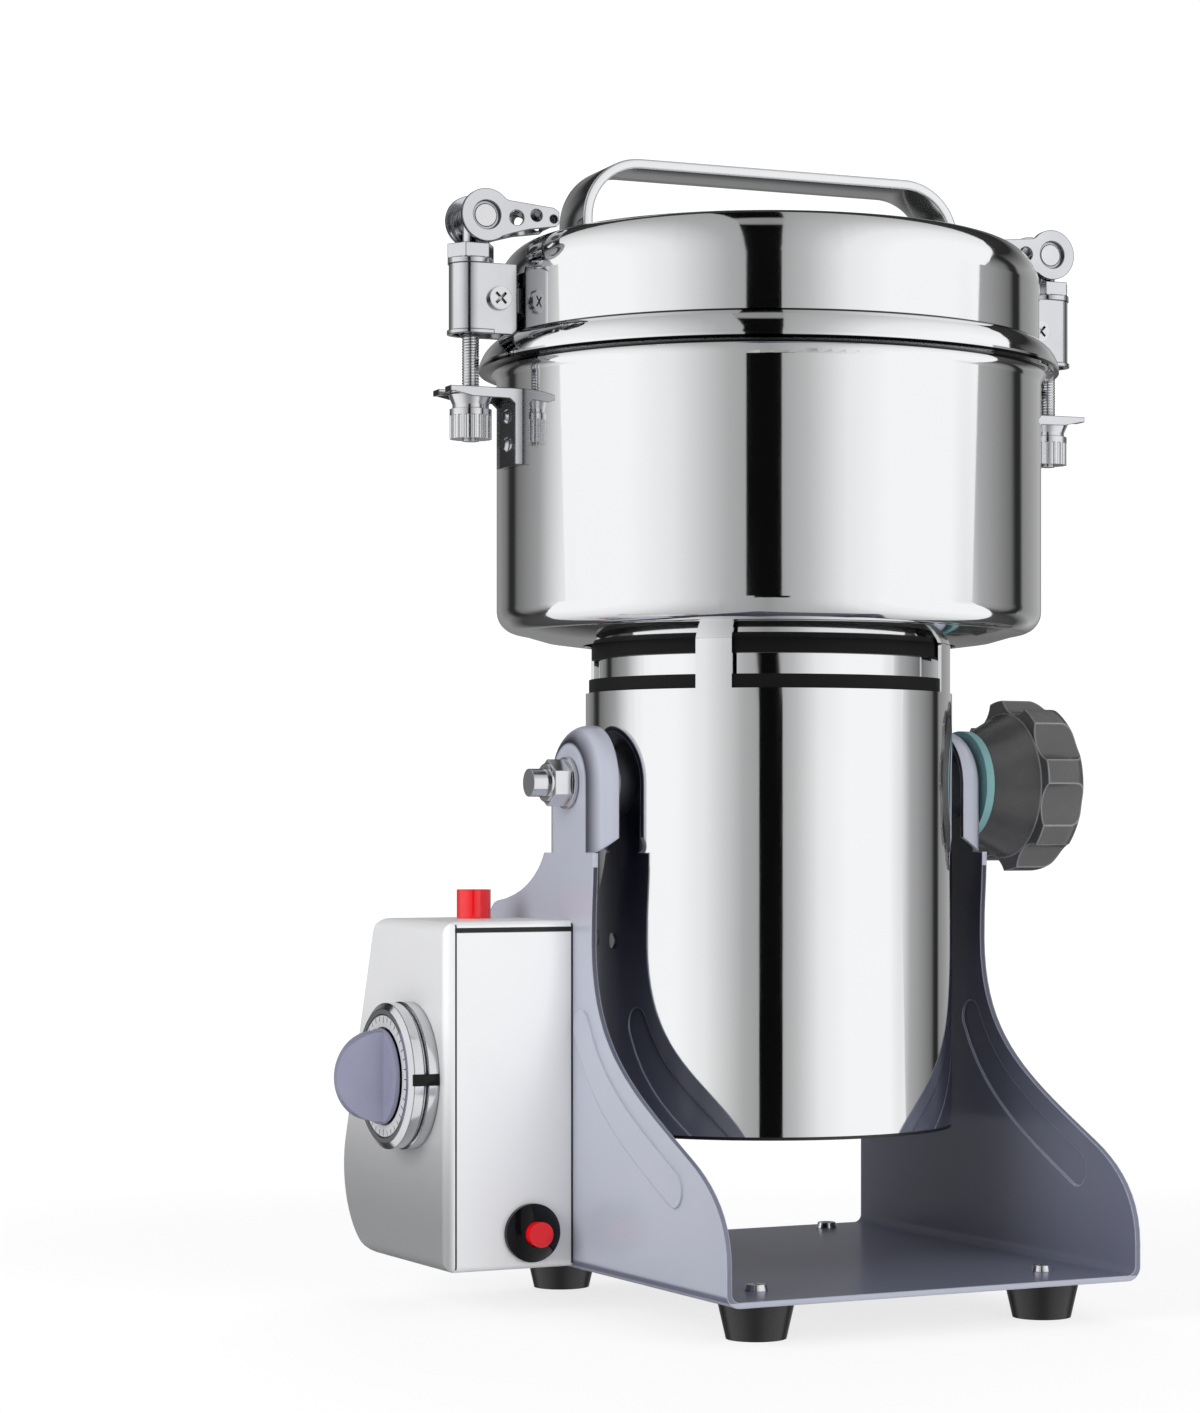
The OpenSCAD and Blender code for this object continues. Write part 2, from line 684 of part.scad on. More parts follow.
bolt_head_r = 8.5;
bolt_head_t = 5;
inner_r = barrel_r - barrel_wall;
bolt_seat = sqrt(inner_r * inner_r - bolt_head_r * bolt_head_r);

module clamp_stud()
  on_axis() color("#c9cacd") translate([0, 0, axis_h]) {
    bar_x(bolt_seat - 1, plate_x + stud_end, bolt_r);
    translate([bolt_seat - bolt_head_t, 0, 0]) rotate([0, 90, 0]) cylinder(h = bolt_head_t, r = bolt_head_r, $fn = 6);
  }

module left_tilt_bolt()
  on_axis() color("#c9cacd") translate([0, 0, axis_h]) mirror([1, 0, 0]) {
    bar_x(bolt_seat - 1, plate_x + bolt_reach, bolt_r);
    translate([bolt_seat - bolt_head_t, 0, 0]) rotate([0, 90, 0]) cylinder(h = bolt_head_t, r = bolt_head_r, $fn = 6);
  }

// the lock nut's corner radius, and its washer, hexagon and collar along the bolt
nut_across_r = 8.4;
nut_steps = [1.4, 6.6, 1];
module left_tilt_nut()
  on_axis() color("#d4d5d8") translate([-plate_x - gap, 0, axis_h]) mirror([1, 0, 0]) difference() {
    union() {
      bar_x(0, nut_steps[0], nut_across_r + 0.8);
      translate([nut_steps[0], 0, 0]) rotate([0, 90, 0]) cylinder(h = nut_steps[1], r = nut_across_r, $fn = 6);
      bar_x(nut_steps[0] + nut_steps[1], nut_steps[0] + nut_steps[1] + nut_steps[2], nut_across_r - 1.6);
    }
    bar_x(-1, 12, bolt_r);
  }

// ---- motor ----

at_straps = [45, 135, 225, 315];
strap_top = barrel_top + neck_h - 2;

module motor_barrel()
  on_axis() color("#c6c7ca") difference() {
    translate([0, 0, barrel_z]) ring(barrel_r, inner_r, strap_top - barrel_z);
    // the windows that leave four straps over the barrel's edge
    difference() {
      translate([0, 0, barrel_top]) cylinder(h = neck_h, r = barrel_r + 2);
      for (a = [0, 90]) rotate(45 + a)
        translate([-barrel_r - 3, -strap_w / 2, barrel_top - 1]) cube([2 * barrel_r + 6, strap_w, neck_h + 2]);
    }
    translate([0, 0, axis_h]) bar_x(-barrel_r - 1, barrel_r + 1, bolt_r);
  }

module bottom_cover()
  on_axis() color("#161618") translate([0, 0, barrel_z]) difference() {
    union() {
      cylinder(h = 4, r = inner_r);
      translate([0, 0, -1.2]) cylinder(h = 1.2, r = barrel_r - 0.4);
    }
    for (i = [0:15]) rotate(i * 22.5) translate([22, -2, -2]) cube([32, 4, 8]);
  }

// the saddle blocks between the barrel and the side plates
module trunnion_bosses()
  on_axis() color("#b9babd") translate([0, 0, axis_h]) difference() {
    for (s = [0, 1]) mirror([s, 0, 0]) bar_x(barrel_r - 6, plate_x - sheet - gap, 12);
    translate([0, 0, -20]) cylinder(h = 40, r = barrel_r);
    bar_x(-plate_x, plate_x, bolt_r);
  }

low_bracket_z = barrel_z + 15.5;
up_bracket_z = barrel_top - 19;
bracket_t = 8;
stator_z = low_bracket_z + bracket_t + 24;
tie_r = 2;
tie_circle = stator_r - 3.5;
module at_ties() for (i = [0:3]) rotate(45 + 90 * i) translate([tie_circle, 0, 0]) children();

// a spoked end bracket with a hub that takes a bearing
module end_bracket(z, hub_low)
  translate([0, 0, z]) difference() {
    union() {
      ring(inner_r, inner_r - 6, bracket_t);
      for (i = [0:3]) rotate(45 + 90 * i) translate([bearing_r, -7, 0]) cube([inner_r - bearing_r - 1, 14, bracket_t]);
      translate([0, 0, hub_low ? -4 : 0]) cylinder(h = bracket_t + 4, r = bearing_r + 5);
    }
    translate([0, 0, hub_low ? -5 : -1]) cylinder(h = bracket_t + 10, r = shaft_r + 3);
    translate([0, 0, hub_low ? -5 : 3]) cylinder(h = bearing_h + 1, r = bearing_r);
    at_ties() translate([0, 0, -1]) cylinder(h = bracket_t + 2, r = tie_r);
  }
bearing_h = 9;

module lower_bracket() on_axis() color("#9fa1a5") end_bracket(low_bracket_z, true);
module upper_bracket() on_axis() color("#9fa1a5") end_bracket(up_bracket_z, false);

module ball_bearings()
  on_axis() color("#8f9196") {
    translate([0, 0, low_bracket_z - 4.5]) ring(bearing_r, shaft_r + fit, bearing_h - 0.5);
    translate([0, 0, up_bracket_z + 3.01]) ring(bearing_r, shaft_r + fit, bearing_h);
  }

module stator_core()
  on_axis() color("#6b6d72") translate([0, 0, stator_z]) difference() {
    cylinder(h = stator_l, r = stator_r);
    translate([0, 0, -1]) cylinder(h = stator_l + 2, r = stator_bore);
    at_ties() translate([0, 0, -1]) cylinder(h = stator_l + 2, r = tie_r);
  }

coil_h = 8;
module field_coils()
  on_axis() color("#a5562a") difference() {
    for (z = [stator_z - coil_h, stator_z + stator_l]) translate([0, 0, z])
      ring(tie_circle - tie_r - 2, stator_bore + 2, coil_h);
    translate([-70, -5, stator_z - coil_h - 1]) cube([140, 10, stator_l + 2 * coil_h + 2]);
  }

module stator_bolts()
  on_axis() color("#c9cacd") at_ties() {
    translate([0, 0, low_bracket_z - 3]) cylinder(h = up_bracket_z + bracket_t - low_bracket_z + 6, r = tie_r);
    for (z = [low_bracket_z - 3, up_bracket_z + bracket_t]) translate([0, 0, z]) cylinder(h = 3, r = 2 * tie_r, $fn = 6);
    translate([0, 0, low_bracket_z + bracket_t]) cylinder(h = stator_z - low_bracket_z - bracket_t, r = 1.6 * tie_r);
    translate([0, 0, stator_z + stator_l])
      cylinder(h = up_bracket_z - stator_z - stator_l, r = 1.6 * tie_r);
  }

comm_r = 14;
comm_z = low_bracket_z + bracket_t + 5;
comm_h = 14;
brush_w = 8;
brush_l = 22;
holder_t = 2;
module brush_holders()
  on_axis() color("#b79a4a") for (s = [0, 1]) mirror([0, s, 0]) difference() {
    translate([-brush_w / 2 - holder_t, comm_r + 4, low_bracket_z + bracket_t])
      cube([brush_w + 2 * holder_t, inner_r - 7 - comm_r, comm_z + brush_w + 2 * holder_t - low_bracket_z - bracket_t - 1]);
    translate([-brush_w / 2, comm_r, comm_z + holder_t]) cube([brush_w, brush_l + 4, brush_w]);
  }

module carbon_brushes()
  on_axis() color("#2c2c2e") for (s = [0, 1]) mirror([0, s, 0])
    translate([-brush_w / 2, comm_r + gap + 0.2, comm_z + holder_t]) cube([brush_w, brush_l, brush_w]);

module rotor_shaft()
  on_axis() color("#c4c5c8") {
    translate([0, 0, low_bracket_z - 6]) cylinder(h = pot_z + 8 - low_bracket_z + 6, r = shaft_r);
    translate([0, 0, pot_z + 8]) cylinder(h = blade_z + 2 * blade_t + blade_gap + 8 - pot_z - 8, r = shaft_r - 1);
  }

module armature()
  on_axis() color("#8a4a2a") translate([0, 0, stator_z]) difference() {
    union() {
      cylinder(h = stator_l, r = stator_bore - air_gap);
      translate([0, 0, -4]) cylinder(h = stator_l + 8, r1 = 0.72 * stator_bore, r2 = 0.72 * stator_bore);
    }
    translate([0, 0, -5]) cylinder(h = stator_l + 10, r = shaft_r);
    for (i = [0:11]) rotate(30 * i) translate([stator_bore - 4, -1, -1]) cube([6, 2, stator_l + 2]);
  }

module commutator()
  on_axis() color("#b87333") translate([0, 0, comm_z]) difference() {
    ring(comm_r, shaft_r, comm_h);
    for (i = [0:11]) rotate(30 * i) translate([comm_r - 1, -0.3, -1]) cube([3, 0.6, comm_h + 2]);
  }

fan_z = stator_z + stator_l + coil_h + 6;
module cooling_fan()
  on_axis() color("#d8d4c8") translate([0, 0, fan_z]) difference() {
    union() {
      cylinder(h = 2, r = fan_r);
      cylinder(h = 12, r = shaft_r + 5);
      for (i = [0:8]) rotate(40 * i) translate([shaft_r + 3, -1, 0]) cube([fan_r - shaft_r - 4, 2, 12]);
    }
    translate([0, 0, -1]) cylinder(h = 14, r = shaft_r);
  }

// ---- neck ----

module neck_base()
  on_axis() color("#151517") translate([0, 0, barrel_top - 5]) ring(inner_r, 24, 5 + neck_low_h);
module neck_ring()
  on_axis() color("#d0d1d4") translate([0, 0, barrel_top + neck_low_h]) ring(neck_mid_r, 24, neck_mid_h);
module neck_gasket()
  on_axis() color("#141416") translate([0, 0, barrel_top + neck_low_h + neck_mid_h])
    ring(inner_r - 1, 24, neck_h - neck_low_h - neck_mid_h);

// ---- pot ----

seal_r = 15;
module pot_section(inset) {
  r = pot_r - inset;
  c = pot_corner - inset;
  z = pot_z + inset;
  translate([0, z + c]) square([r, seam_z - z - c + (inset > 0 ? 1 : 0)]);
  translate([0, z]) square([r - c, seam_z - z]);
  translate([r - c, z + c]) circle(c);
}
module pot()
  on_pot() color("#cdced0") rotate_extrude() difference() {
    union() {
      pot_section(0);
      // the flange, hollowed into the wall below
      translate([pot_r - pot_wall, seam_z - rim_t]) square([pot_wall + rim_reach, rim_t]);
      difference() {
        translate([pot_r - pot_wall, seam_z - rim_t - rim_hollow]) square([pot_wall + rim_hollow, rim_hollow + rim_t / 2]);
        translate([pot_r + rim_hollow, seam_z - rim_t - rim_hollow]) circle(rim_hollow);
      }
    }
    pot_section(pot_wall);
    translate([0, pot_z - 1]) square([seal_r - 4, 10]);
  }

module shaft_seal()
  on_pot() color("#2b2b2e") translate([0, 0, pot_z + pot_wall]) ring(seal_r, shaft_r + fit, 6);

blade_z = pot_z + 14;
module blade_form(reach, w)
  difference() {
    union() {
      cylinder(h = blade_t, r = 15);
      linear_extrude(blade_t) for (a = [0, 180]) rotate(a)
        polygon([[0, -w / 2], [0.62 * reach, -w / 2], [reach, -w / 8], [reach, w / 8], [0.9 * reach, w / 2], [0, w / 2]]);
    }
    translate([0, 0, -1]) cylinder(h = blade_t + 2, r = shaft_r - 1);
    // the ground cutting edges
    for (a = [0, 180]) rotate(a) translate([18, -w / 2 - 1, blade_t]) rotate([-24, 0, 0])
      translate([0, -4, 0]) cube([reach, 6.5, 4]);
  }

module lower_blade()
  on_pot() color("#bfc0c3") translate([0, 0, blade_z]) {
    blade_form(blade_reach, blade_w);
    translate([0, 0, pot_z + 8 - blade_z]) ring(shaft_r + 4, shaft_r - 1, blade_z - pot_z - 8);
  }

module upper_blade()
  on_pot() color("#bfc0c3") translate([0, 0, blade_z + blade_t]) {
    ring(shaft_r + 4, shaft_r - 1, blade_gap);
    translate([0, 0, blade_gap]) rotate(90) blade_form(0.68 * blade_reach, 0.8 * blade_w);
  }

module blade_nut()
  on_pot() color("#d0d1d4") translate([0, 0, blade_z + 2 * blade_t + blade_gap]) difference() {
    union() {
      cylinder(h = 7, r = 1.7 * shaft_r, $fn = 6);
      translate([0, 0, 7]) cylinder(h = 5, r1 = 1.4 * shaft_r, r2 = 0.8 * shaft_r);
    }
    translate([0, 0, -1]) cylinder(h = 9, r = shaft_r - 1);
  }

// ---- lid ----

module lid_section(inset) {
  r = lid_r - inset;
  c = lid_corner - inset;
  z = seam_z - (inset > 0 ? 1 : 0);
  top = lid_top - inset;
  translate([0, z]) square([r, top - c - z]);
  translate([0, z]) square([r - c, top - z]);
  translate([r - c, top - c]) circle(c);
}
// the skirt bows out from a small shoulder on the wall to the rim's edge
skirt_edge = [pot_r + rim_reach, seam_z + 0.7];
skirt_root = [lid_r + 0.9, seam_z + skirt_h];
module skirt_section(out) {
  v = skirt_root - skirt_edge;
  n = [-v[1], v[0]] / norm(v);
  intersection() {
    translate([lid_r - lid_wall, seam_z]) square([lid_wall + rim_reach + 2, skirt_h + out]);
    translate((skirt_root + skirt_edge) / 2 + n * sqrt(skirt_bow * skirt_bow - v * v / 4)) circle(skirt_bow + out);
    square([pot_r + rim_reach + out, lid_top]);
  }
}
module lid_shell()
  on_pot() color("#d2d3d5") rotate_extrude() difference() {
    union() {
      lid_section(0);
      skirt_section(0);
    }
    lid_section(lid_wall);
  }

module lid_seal()
  on_pot() color("#e8e6e0") translate([0, 0, seam_z - 5]) ring(lid_r - lid_wall - 0.05, lid_r - lid_wall - 3.5, 11);

// the handle is one strap, bent up at both ends
module handle_section(inset) {
  half = handle_l / 2 - inset;
  r = handle_r - inset;
  top = handle_h - inset;
  translate([-half, -(inset > 0 ? 1 : 0)]) square([2 * half, top - r + (inset > 0 ? 1 : 0)]);
  translate([-half + r, 0]) square([2 * half - 2 * r, top]);
  for (s = [-1, 1]) translate([s * (half - r), top - r]) circle(r);
}
module lid_handle()
  on_pot() color("#d6d7d9") translate([handle_shift, 0, lid_top]) xz(-handle_w / 2, handle_w / 2) difference() {
    handle_section(0);
    handle_section(handle_t);
    translate([-handle_l, -handle_h]) square([2 * handle_l, handle_h]);
  }

// ---- latches ----

screw_z = seam_z + wrap_z + wrap_h / 2;
lug_half = wrap_r - wrap_t - 0.2;

module lid_lugs()
  color("#b4b5b8") for (side = [-1, 1]) on_latch(side) difference() {
    union() {
      translate([lid_r - 3, -lug_half, screw_z - 4.5]) cube([screw_x - lid_r + 3, 2 * lug_half, 9]);
      translate([screw_x, 0, screw_z]) bar_y(-lug_half, lug_half, 4.5);
    }
    translate([0, 0, screw_z - 6]) cylinder(h = 12, r = lid_r);
    translate([screw_x, 0, screw_z]) bar_y(-20, 20, latch_screw_r);
  }

// the bracket wraps round the rod and runs back to the lid on both sides of the lug
module latch_brackets()
  color("#c8c9cc") for (side = [-1, 1]) on_latch(side) difference() {
    translate([0, 0, seam_z + wrap_z]) {
      linear_extrude(wrap_h) difference() {
        union() {
          translate([rod_x, 0]) circle(wrap_r);
          translate([lid_r + 1.5, -wrap_r]) square([rod_x - lid_r - 1.5, 2 * wrap_r]);
        }
        translate([rod_x, 0]) circle(wrap_r - wrap_t);
        translate([lid_r, -wrap_r + wrap_t]) square([rod_x - lid_r, 2 * (wrap_r - wrap_t)]);
      }
      // the turned lower lip
      linear_extrude(1.4) difference() {
        union() {
          translate([rod_x, 0]) circle(wrap_r + 0.7);
          translate([rod_x - 6, -wrap_r - 0.7]) square([6, 2 * wrap_r + 1.4]);
        }
        translate([rod_x, 0]) circle(wrap_r - wrap_t);
        translate([rod_x - 10, -wrap_r + wrap_t]) square([10, 2 * (wrap_r - wrap_t)]);
        translate([rod_x - 16, -2 * wrap_r]) square([10, 4 * wrap_r]);
      }
    }
    translate([screw_x, 0, screw_z]) bar_y(-20, 20, latch_screw_r);
    rotate_extrude() skirt_section(gap);
  }

module latch_screws()
  color("#dcdde0") for (side = [-1, 1]) on_latch(side) translate([screw_x, 0, screw_z]) {
    bar_y(-wrap_r, wrap_r, latch_screw_r);
    difference() {
      bar_y(-wrap_r - 2.2, -wrap_r, latch_screw_r + 1.9);
      for (a = [0, 90]) rotate([0, 45 + a, 0]) translate([-2.6, -wrap_r - 3, -0.45]) cube([5.2, 1.8, 0.9]);
    }
    translate([0, wrap_r, 0]) rotate([-90, 0, 0]) cylinder(h = 2.6, r = latch_screw_r + 1.9, $fn = 6);
  }

// a flanged hexagon closes the bracket's top and guides the rod
module latch_caps()
  color("#d4d5d8") for (side = [-1, 1]) on_latch(side) translate([rod_x, 0, cap_z]) difference() {
    union() {
      cylinder(h = cap_base_t, r = wrap_r + 0.4);
      translate([0, 0, cap_base_t]) cylinder(h = cap_hex_h, r = cap_hex_r, $fn = 6);
    }
    translate([0, 0, -1]) cylinder(h = cap_base_t + cap_hex_h + 2, r = rod_r + fit);
  }

fork_low = seam_z - fork_drop;
slot_half = rod_r + 0.6;
fork_leg = 25;
flange = 2.4;

// the fork: a leg riveted to the pot and a slotted plate, with flanges that taper to its tip
module latch_forks()
  color("#c6c7ca") for (side = [-1, 1]) on_latch(side) difference() {
    union() {
      xz(-fork_half, fork_half)
        polygon([[pot_r - 3, fork_low - fork_leg], [pot_r + 2, fork_low - fork_leg], [pot_r + 2, fork_low],
          [fork_reach, fork_low], [fork_reach, fork_low + fork_t], [pot_r - 3, fork_low + fork_t]]);
      for (s = [-1, 1]) translate([0, s * (fork_half - 0.6), 0]) xz(-0.6, 0.6)
        polygon([[pot_r + 1, fork_low - fork_leg], [pot_r + flange, fork_low - fork_leg],
          [pot_r + flange, fork_low - 1.4 * flange], [pot_r + 1.8 * flange, fork_low - 0.7 * flange],
          [rod_x + flange, fork_low - 0.6 * flange], [fork_reach, fork_low + 0.3], [pot_r + 1, fork_low + 0.5]]);
    }
    translate([0, 0, fork_low - fork_leg - 1]) cylinder(h = fork_leg + fork_t + 2, r = pot_r);
    translate([rod_x, 0, fork_low - 1]) cylinder(h = fork_t + 2, r = slot_half);
    translate([rod_x, -slot_half, fork_low - 1]) cube([fork_reach, 2 * slot_half, fork_t + 6]);
    at_rivets() bar_x(pot_r - 4, pot_r + 3, rivet_r);
  }

rivet_r = 1.6;
module at_rivets() for (z = [7, 17]) translate([0, 0, fork_low - z]) children();

module fork_rivets()
  color("#b0b1b4") for (side = [-1, 1]) on_latch(side) at_rivets() {
    difference() {
      bar_x(pot_r - 1, pot_r + 2, rivet_r);
      translate([0, 0, -5]) cylinder(h = 10, r = pot_r);
    }
    translate([pot_r + 2, 0, 0]) rotate([0, 90, 0]) cylinder(h = 1.3, r1 = 2.9, r2 = 1.8);
  }

rod_low = fork_low - gap - nut_h - 0.8;
head_r = pin_z - rod_travel - gap;

// the rod, with the eye that carries the lever's pin at its top
module latch_rod(side)
  on_latch(side) color("#b9babd") difference() {
    union() {
      translate([rod_x, 0, rod_low]) cylinder(h = pin_h - 3 - rod_low, r = rod_r);
      translate([pin_x, 0, pin_h]) bar_y(-cam_half + gap, cam_half - gap, head_r);
    }
    translate([pin_x, 0, pin_h]) bar_y(-20, 20, pin_r);
  }
module latch_rod_left() latch_rod(-1);
module latch_rod_right() latch_rod(1);

cheek_t = 1.6;
cam_half = lever_half - 2 * cheek_t;
arm_root = pin_x - eye_r + 1;

// the lever's side, drawn in (X, Z) about the pin
module lever_side() {
  circle(eye_r);
  polygon([[0, eye_r], [-eye_r + 1, 5.6], [lever_tip - pin_x + 2, 4], [lever_tip - pin_x, 2.6],
    [lever_tip - pin_x, -1.6], [lever_tip - pin_x + 1, -2.6], [-16, -4.2], [-9.5, -6], [0, -eye_r]]);
}
// the cam falls away as the lever opens, by the rod's travel over the whole angle
function cam_r(a) = pin_z - gap - rod_travel * min(max(a, 0), lever_angle) / lever_angle;
module cam_2d()
  polygon([for (i = [-10:25])
    let (a = i * 8) cam_r(a + 6) * [cos(a - 90), sin(a - 90)]]);

module lever_holes()
  for (h = [[-11.1, -0.4, 2.7], [-18.5, 0.9, 2.2], [-25, 0, 1.5]])
    translate([h[0], h[1]]) circle(h[2]);

module latch_lever(side)
  on_latch(side) color("#c9cacd") translate([pin_x, 0, pin_h]) {
    difference() {
      for (s = [0, 1]) mirror([0, s, 0]) {
        xz(lever_half - cheek_t, lever_half) difference() {
          lever_side();
          lever_holes();
          circle(1.28 * pin_r);
        }
        xz(cam_half, lever_half - cheek_t) difference() {
          cam_2d();
          circle(pin_r);
        }
      }
      bar_y(-20, 20, pin_r);
    }
    // the bridge between the two cheeks
    xz(-lever_half + cheek_t, lever_half - cheek_t)
      polygon([[-16, 4.85], [lever_tip - pin_x + 2, 4], [lever_tip - pin_x, 2.6], [lever_tip - pin_x, -1.6],
        [lever_tip - pin_x + 1.4, -1.6], [lever_tip - pin_x + 1.4, 2], [lever_tip - pin_x + 2.6, 2.6],
        [-16, 3.4]]);
  }
module latch_lever_left() latch_lever(-1);
module latch_lever_right() latch_lever(1);

module lever_pin(side)
  on_latch(side) color("#e4e5e7") translate([pin_x, 0, pin_h])
    bar_y(-lever_half + cheek_t - 0.2, lever_half - cheek_t + 0.2, pin_r - fit);
module lever_pin_left() lever_pin(-1);
module lever_pin_right() lever_pin(1);

// the knurled nut: a dished collar over a fluted barrel
module latch_nut(side)
  on_latch(side) color("#cfd0d3") translate([rod_x, 0, fork_low - gap - nut_h]) difference() {
    union() {
      cylinder(h = 0.68 * nut_h, r = nut_r - 0.2);
      translate([0, 0, 0.68 * nut_h]) cylinder(h = 0.1 * nut_h, r = nut_r - 1.2);
      translate([0, 0, 0.78 * nut_h]) cylinder(h = 0.22 * nut_h, r1 = nut_r - 1.2, r2 = nut_r + 0.3);
    }
    translate([0, 0, -1]) cylinder(h = nut_h + 2, r = rod_r + fit);
    for (i = [0:17]) rotate(20 * i) translate([nut_r + 0.3, 0, -1]) cylinder(h = 0.6 * nut_h, r = 0.95, $fn = 16);
  }
module latch_nut_left() latch_nut(-1);
module latch_nut_right() latch_nut(1);

base_frame();
feet();
foot_screws();
box_cover();
box_screws();
timer_movement();
timer_dial();
timer_knob();
start_switch();
start_button();
breaker_body();
breaker_cap();
reset_button();
cord_gland();
friction_washer();
star_knob();
motor_barrel();
bottom_cover();
trunnion_bosses();
left_tilt_bolt();
left_tilt_nut();
clamp_stud();
lower_bracket();
upper_bracket();
stator_core();
field_coils();
stator_bolts();
brush_holders();
carbon_brushes();
ball_bearings();
neck_base();
neck_ring();
neck_gasket();
pot();
shaft_seal();
lid_shell();
lid_seal();
lid_handle();
lid_lugs();
latch_brackets();
latch_screws();
latch_caps();
latch_forks();
fork_rivets();
rotor_shaft();
armature();
commutator();
cooling_fan();
lower_blade();
upper_blade();
blade_nut();
latch_rod_left();
latch_rod_right();
latch_lever_left();
latch_lever_right();
lever_pin_left();
lever_pin_right();
latch_nut_left();
latch_nut_right();
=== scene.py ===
import json
import math

import bpy
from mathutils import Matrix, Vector


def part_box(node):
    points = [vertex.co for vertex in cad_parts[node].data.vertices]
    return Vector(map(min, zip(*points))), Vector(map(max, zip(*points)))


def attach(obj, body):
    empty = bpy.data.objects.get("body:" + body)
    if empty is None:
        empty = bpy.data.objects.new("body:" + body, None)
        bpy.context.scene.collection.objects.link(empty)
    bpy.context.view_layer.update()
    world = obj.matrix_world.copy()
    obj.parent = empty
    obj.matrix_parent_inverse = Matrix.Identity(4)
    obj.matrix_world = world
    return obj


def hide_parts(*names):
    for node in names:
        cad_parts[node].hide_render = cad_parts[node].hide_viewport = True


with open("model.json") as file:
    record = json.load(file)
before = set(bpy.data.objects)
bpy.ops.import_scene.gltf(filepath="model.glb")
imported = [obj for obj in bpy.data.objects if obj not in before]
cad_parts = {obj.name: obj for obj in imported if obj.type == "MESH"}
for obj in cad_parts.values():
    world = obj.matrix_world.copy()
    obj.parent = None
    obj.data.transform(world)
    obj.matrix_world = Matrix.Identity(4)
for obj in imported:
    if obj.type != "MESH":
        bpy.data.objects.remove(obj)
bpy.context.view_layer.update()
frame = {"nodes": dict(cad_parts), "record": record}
nodes = frame["nodes"]
mm = 0.001


def boxOf(node):
    low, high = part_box(node)
    return Vector(low), Vector(high)


def middleOf(node):
    low, high = boxOf(node)
    return (low + high) / 2


axis = middleOf("motor_barrel")  # the pot, its lid and the barrel share this upright axis


# ---- camera, floor and light

cameraSpot = {
    "turned": math.radians(-28.2),  # the camera stands left of the front
    "distance": 1.3257,
    "height": 0.1723,
    "sensor": 36,
    "focalPixels": 3600,
    "imageWidth": 1200,
    "imageHeight": 1413,
    "axisPixel": 768.9,
    "horizonPixel": 826.8,
}
towardsCamera = Vector((math.sin(cameraSpot["turned"]), -math.cos(cameraSpot["turned"]), 0))


def makeCamera(spot):
    place = Vector((axis.x, axis.y, 0)) + towardsCamera * spot["distance"]
    bpy.ops.object.camera_add(location=(place.x, place.y, spot["height"]))
    camera = bpy.context.object
    camera.name = "camera"
    camera.rotation_euler = (-towardsCamera).to_track_quat("-Z", "Y").to_euler()
    camera.data.sensor_width = spot["sensor"]
    camera.data.lens = spot["sensor"] * spot["focalPixels"] / spot["imageHeight"]
    camera.data.shift_x = (spot["imageWidth"] / 2 - spot["axisPixel"]) / spot["imageHeight"]
    camera.data.shift_y = (spot["horizonPixel"] - spot["imageHeight"] / 2) / spot["imageHeight"]
    bpy.context.scene.camera = camera


def linear(code):
    channels = [int(code[i:i + 2], 16) / 255 for i in (1, 3, 5)]
    return tuple(c / 12.92 if c <= 0.04045 else ((c + 0.055) / 1.055) ** 2.4 for c in channels) + (1.0,)


def grey(shown):
    value = shown / 12.92 if shown <= 0.04045 else ((shown + 0.055) / 1.055) ** 2.4
    return (value, value, value, 1.0)


# one node, with its settings, its typed values and what feeds it
def addNode(tree, kind, settings=None, values=None, links=None):
    node = tree.nodes.new("ShaderNode" + kind)
    for name, value in (settings or {}).items():
        setattr(node, name, value)
    for socket, value in (values or {}).items():
        node.inputs[socket].default_value = value
    for socket, source in (links or {}).items():
        tree.links.new(source, node.inputs[socket])
    return node


def setStops(ramp, stops):
    while len(ramp.elements) > 1:
        ramp.elements.remove(ramp.elements[-1])
    for index, (place, colour) in enumerate(stops):
        element = ramp.elements[0] if index == 0 else ramp.elements.new(place)
        element.position = place
        element.color = colour


# what the steel mirrors. Two long soft boxes stand left and right of the camera and meet overhead, with
# a narrow black flag between them, and the room behind is dim. Angles are degrees around from the camera,
# and each brightness is the one that shows
studio = {
    "boxes": [
        (-180, 0.50), (-158, 0.56), (-146, 0.46), (-140, 0.17), (-135, 0.18), (-131, 0.44), (-112, 0.63),
        (-97, 0.93), (-84, 1.0), (-60, 1.0), (-40, 0.93), (-16, 0.69), (0, 0.60), (16, 0.75), (32, 0.94),
        (50, 1.0), (80, 1.0), (92, 0.88), (99, 0.68), (122, 0.44), (126, 0.16), (131, 0.17), (134, 0.54),
        (162, 0.70), (174, 0.42), (180, 0.50),
    ],
    # behind the object only a strip near the horizon is lit: its share and the dim rest, by the angle up
    "strip": [(-90, 0), (-22, 0), (-12, 1), (14, 1), (26, 0), (90, 0)],
    "dim": [(-90, 0.46), (-50, 0.36), (-20, 0.24), (0, 0.2), (25, 0.16), (60, 0.26), (90, 0.42)],
    "overhead": 1.0,  # how far the boxes lean over the object
    "flag": {"halfWidth": 0.125, "tone": 0.04, "foot": -0.14, "endFrom": 0.96, "endTo": 0.992,
             "rest": 0.2},
    "flagShift": {"from": 0.036, "to": 0.056, "low": 0.022, "high": -0.034},  # it stands a little askew
    "strength": 1.1,
    "fill": 0.36,
}


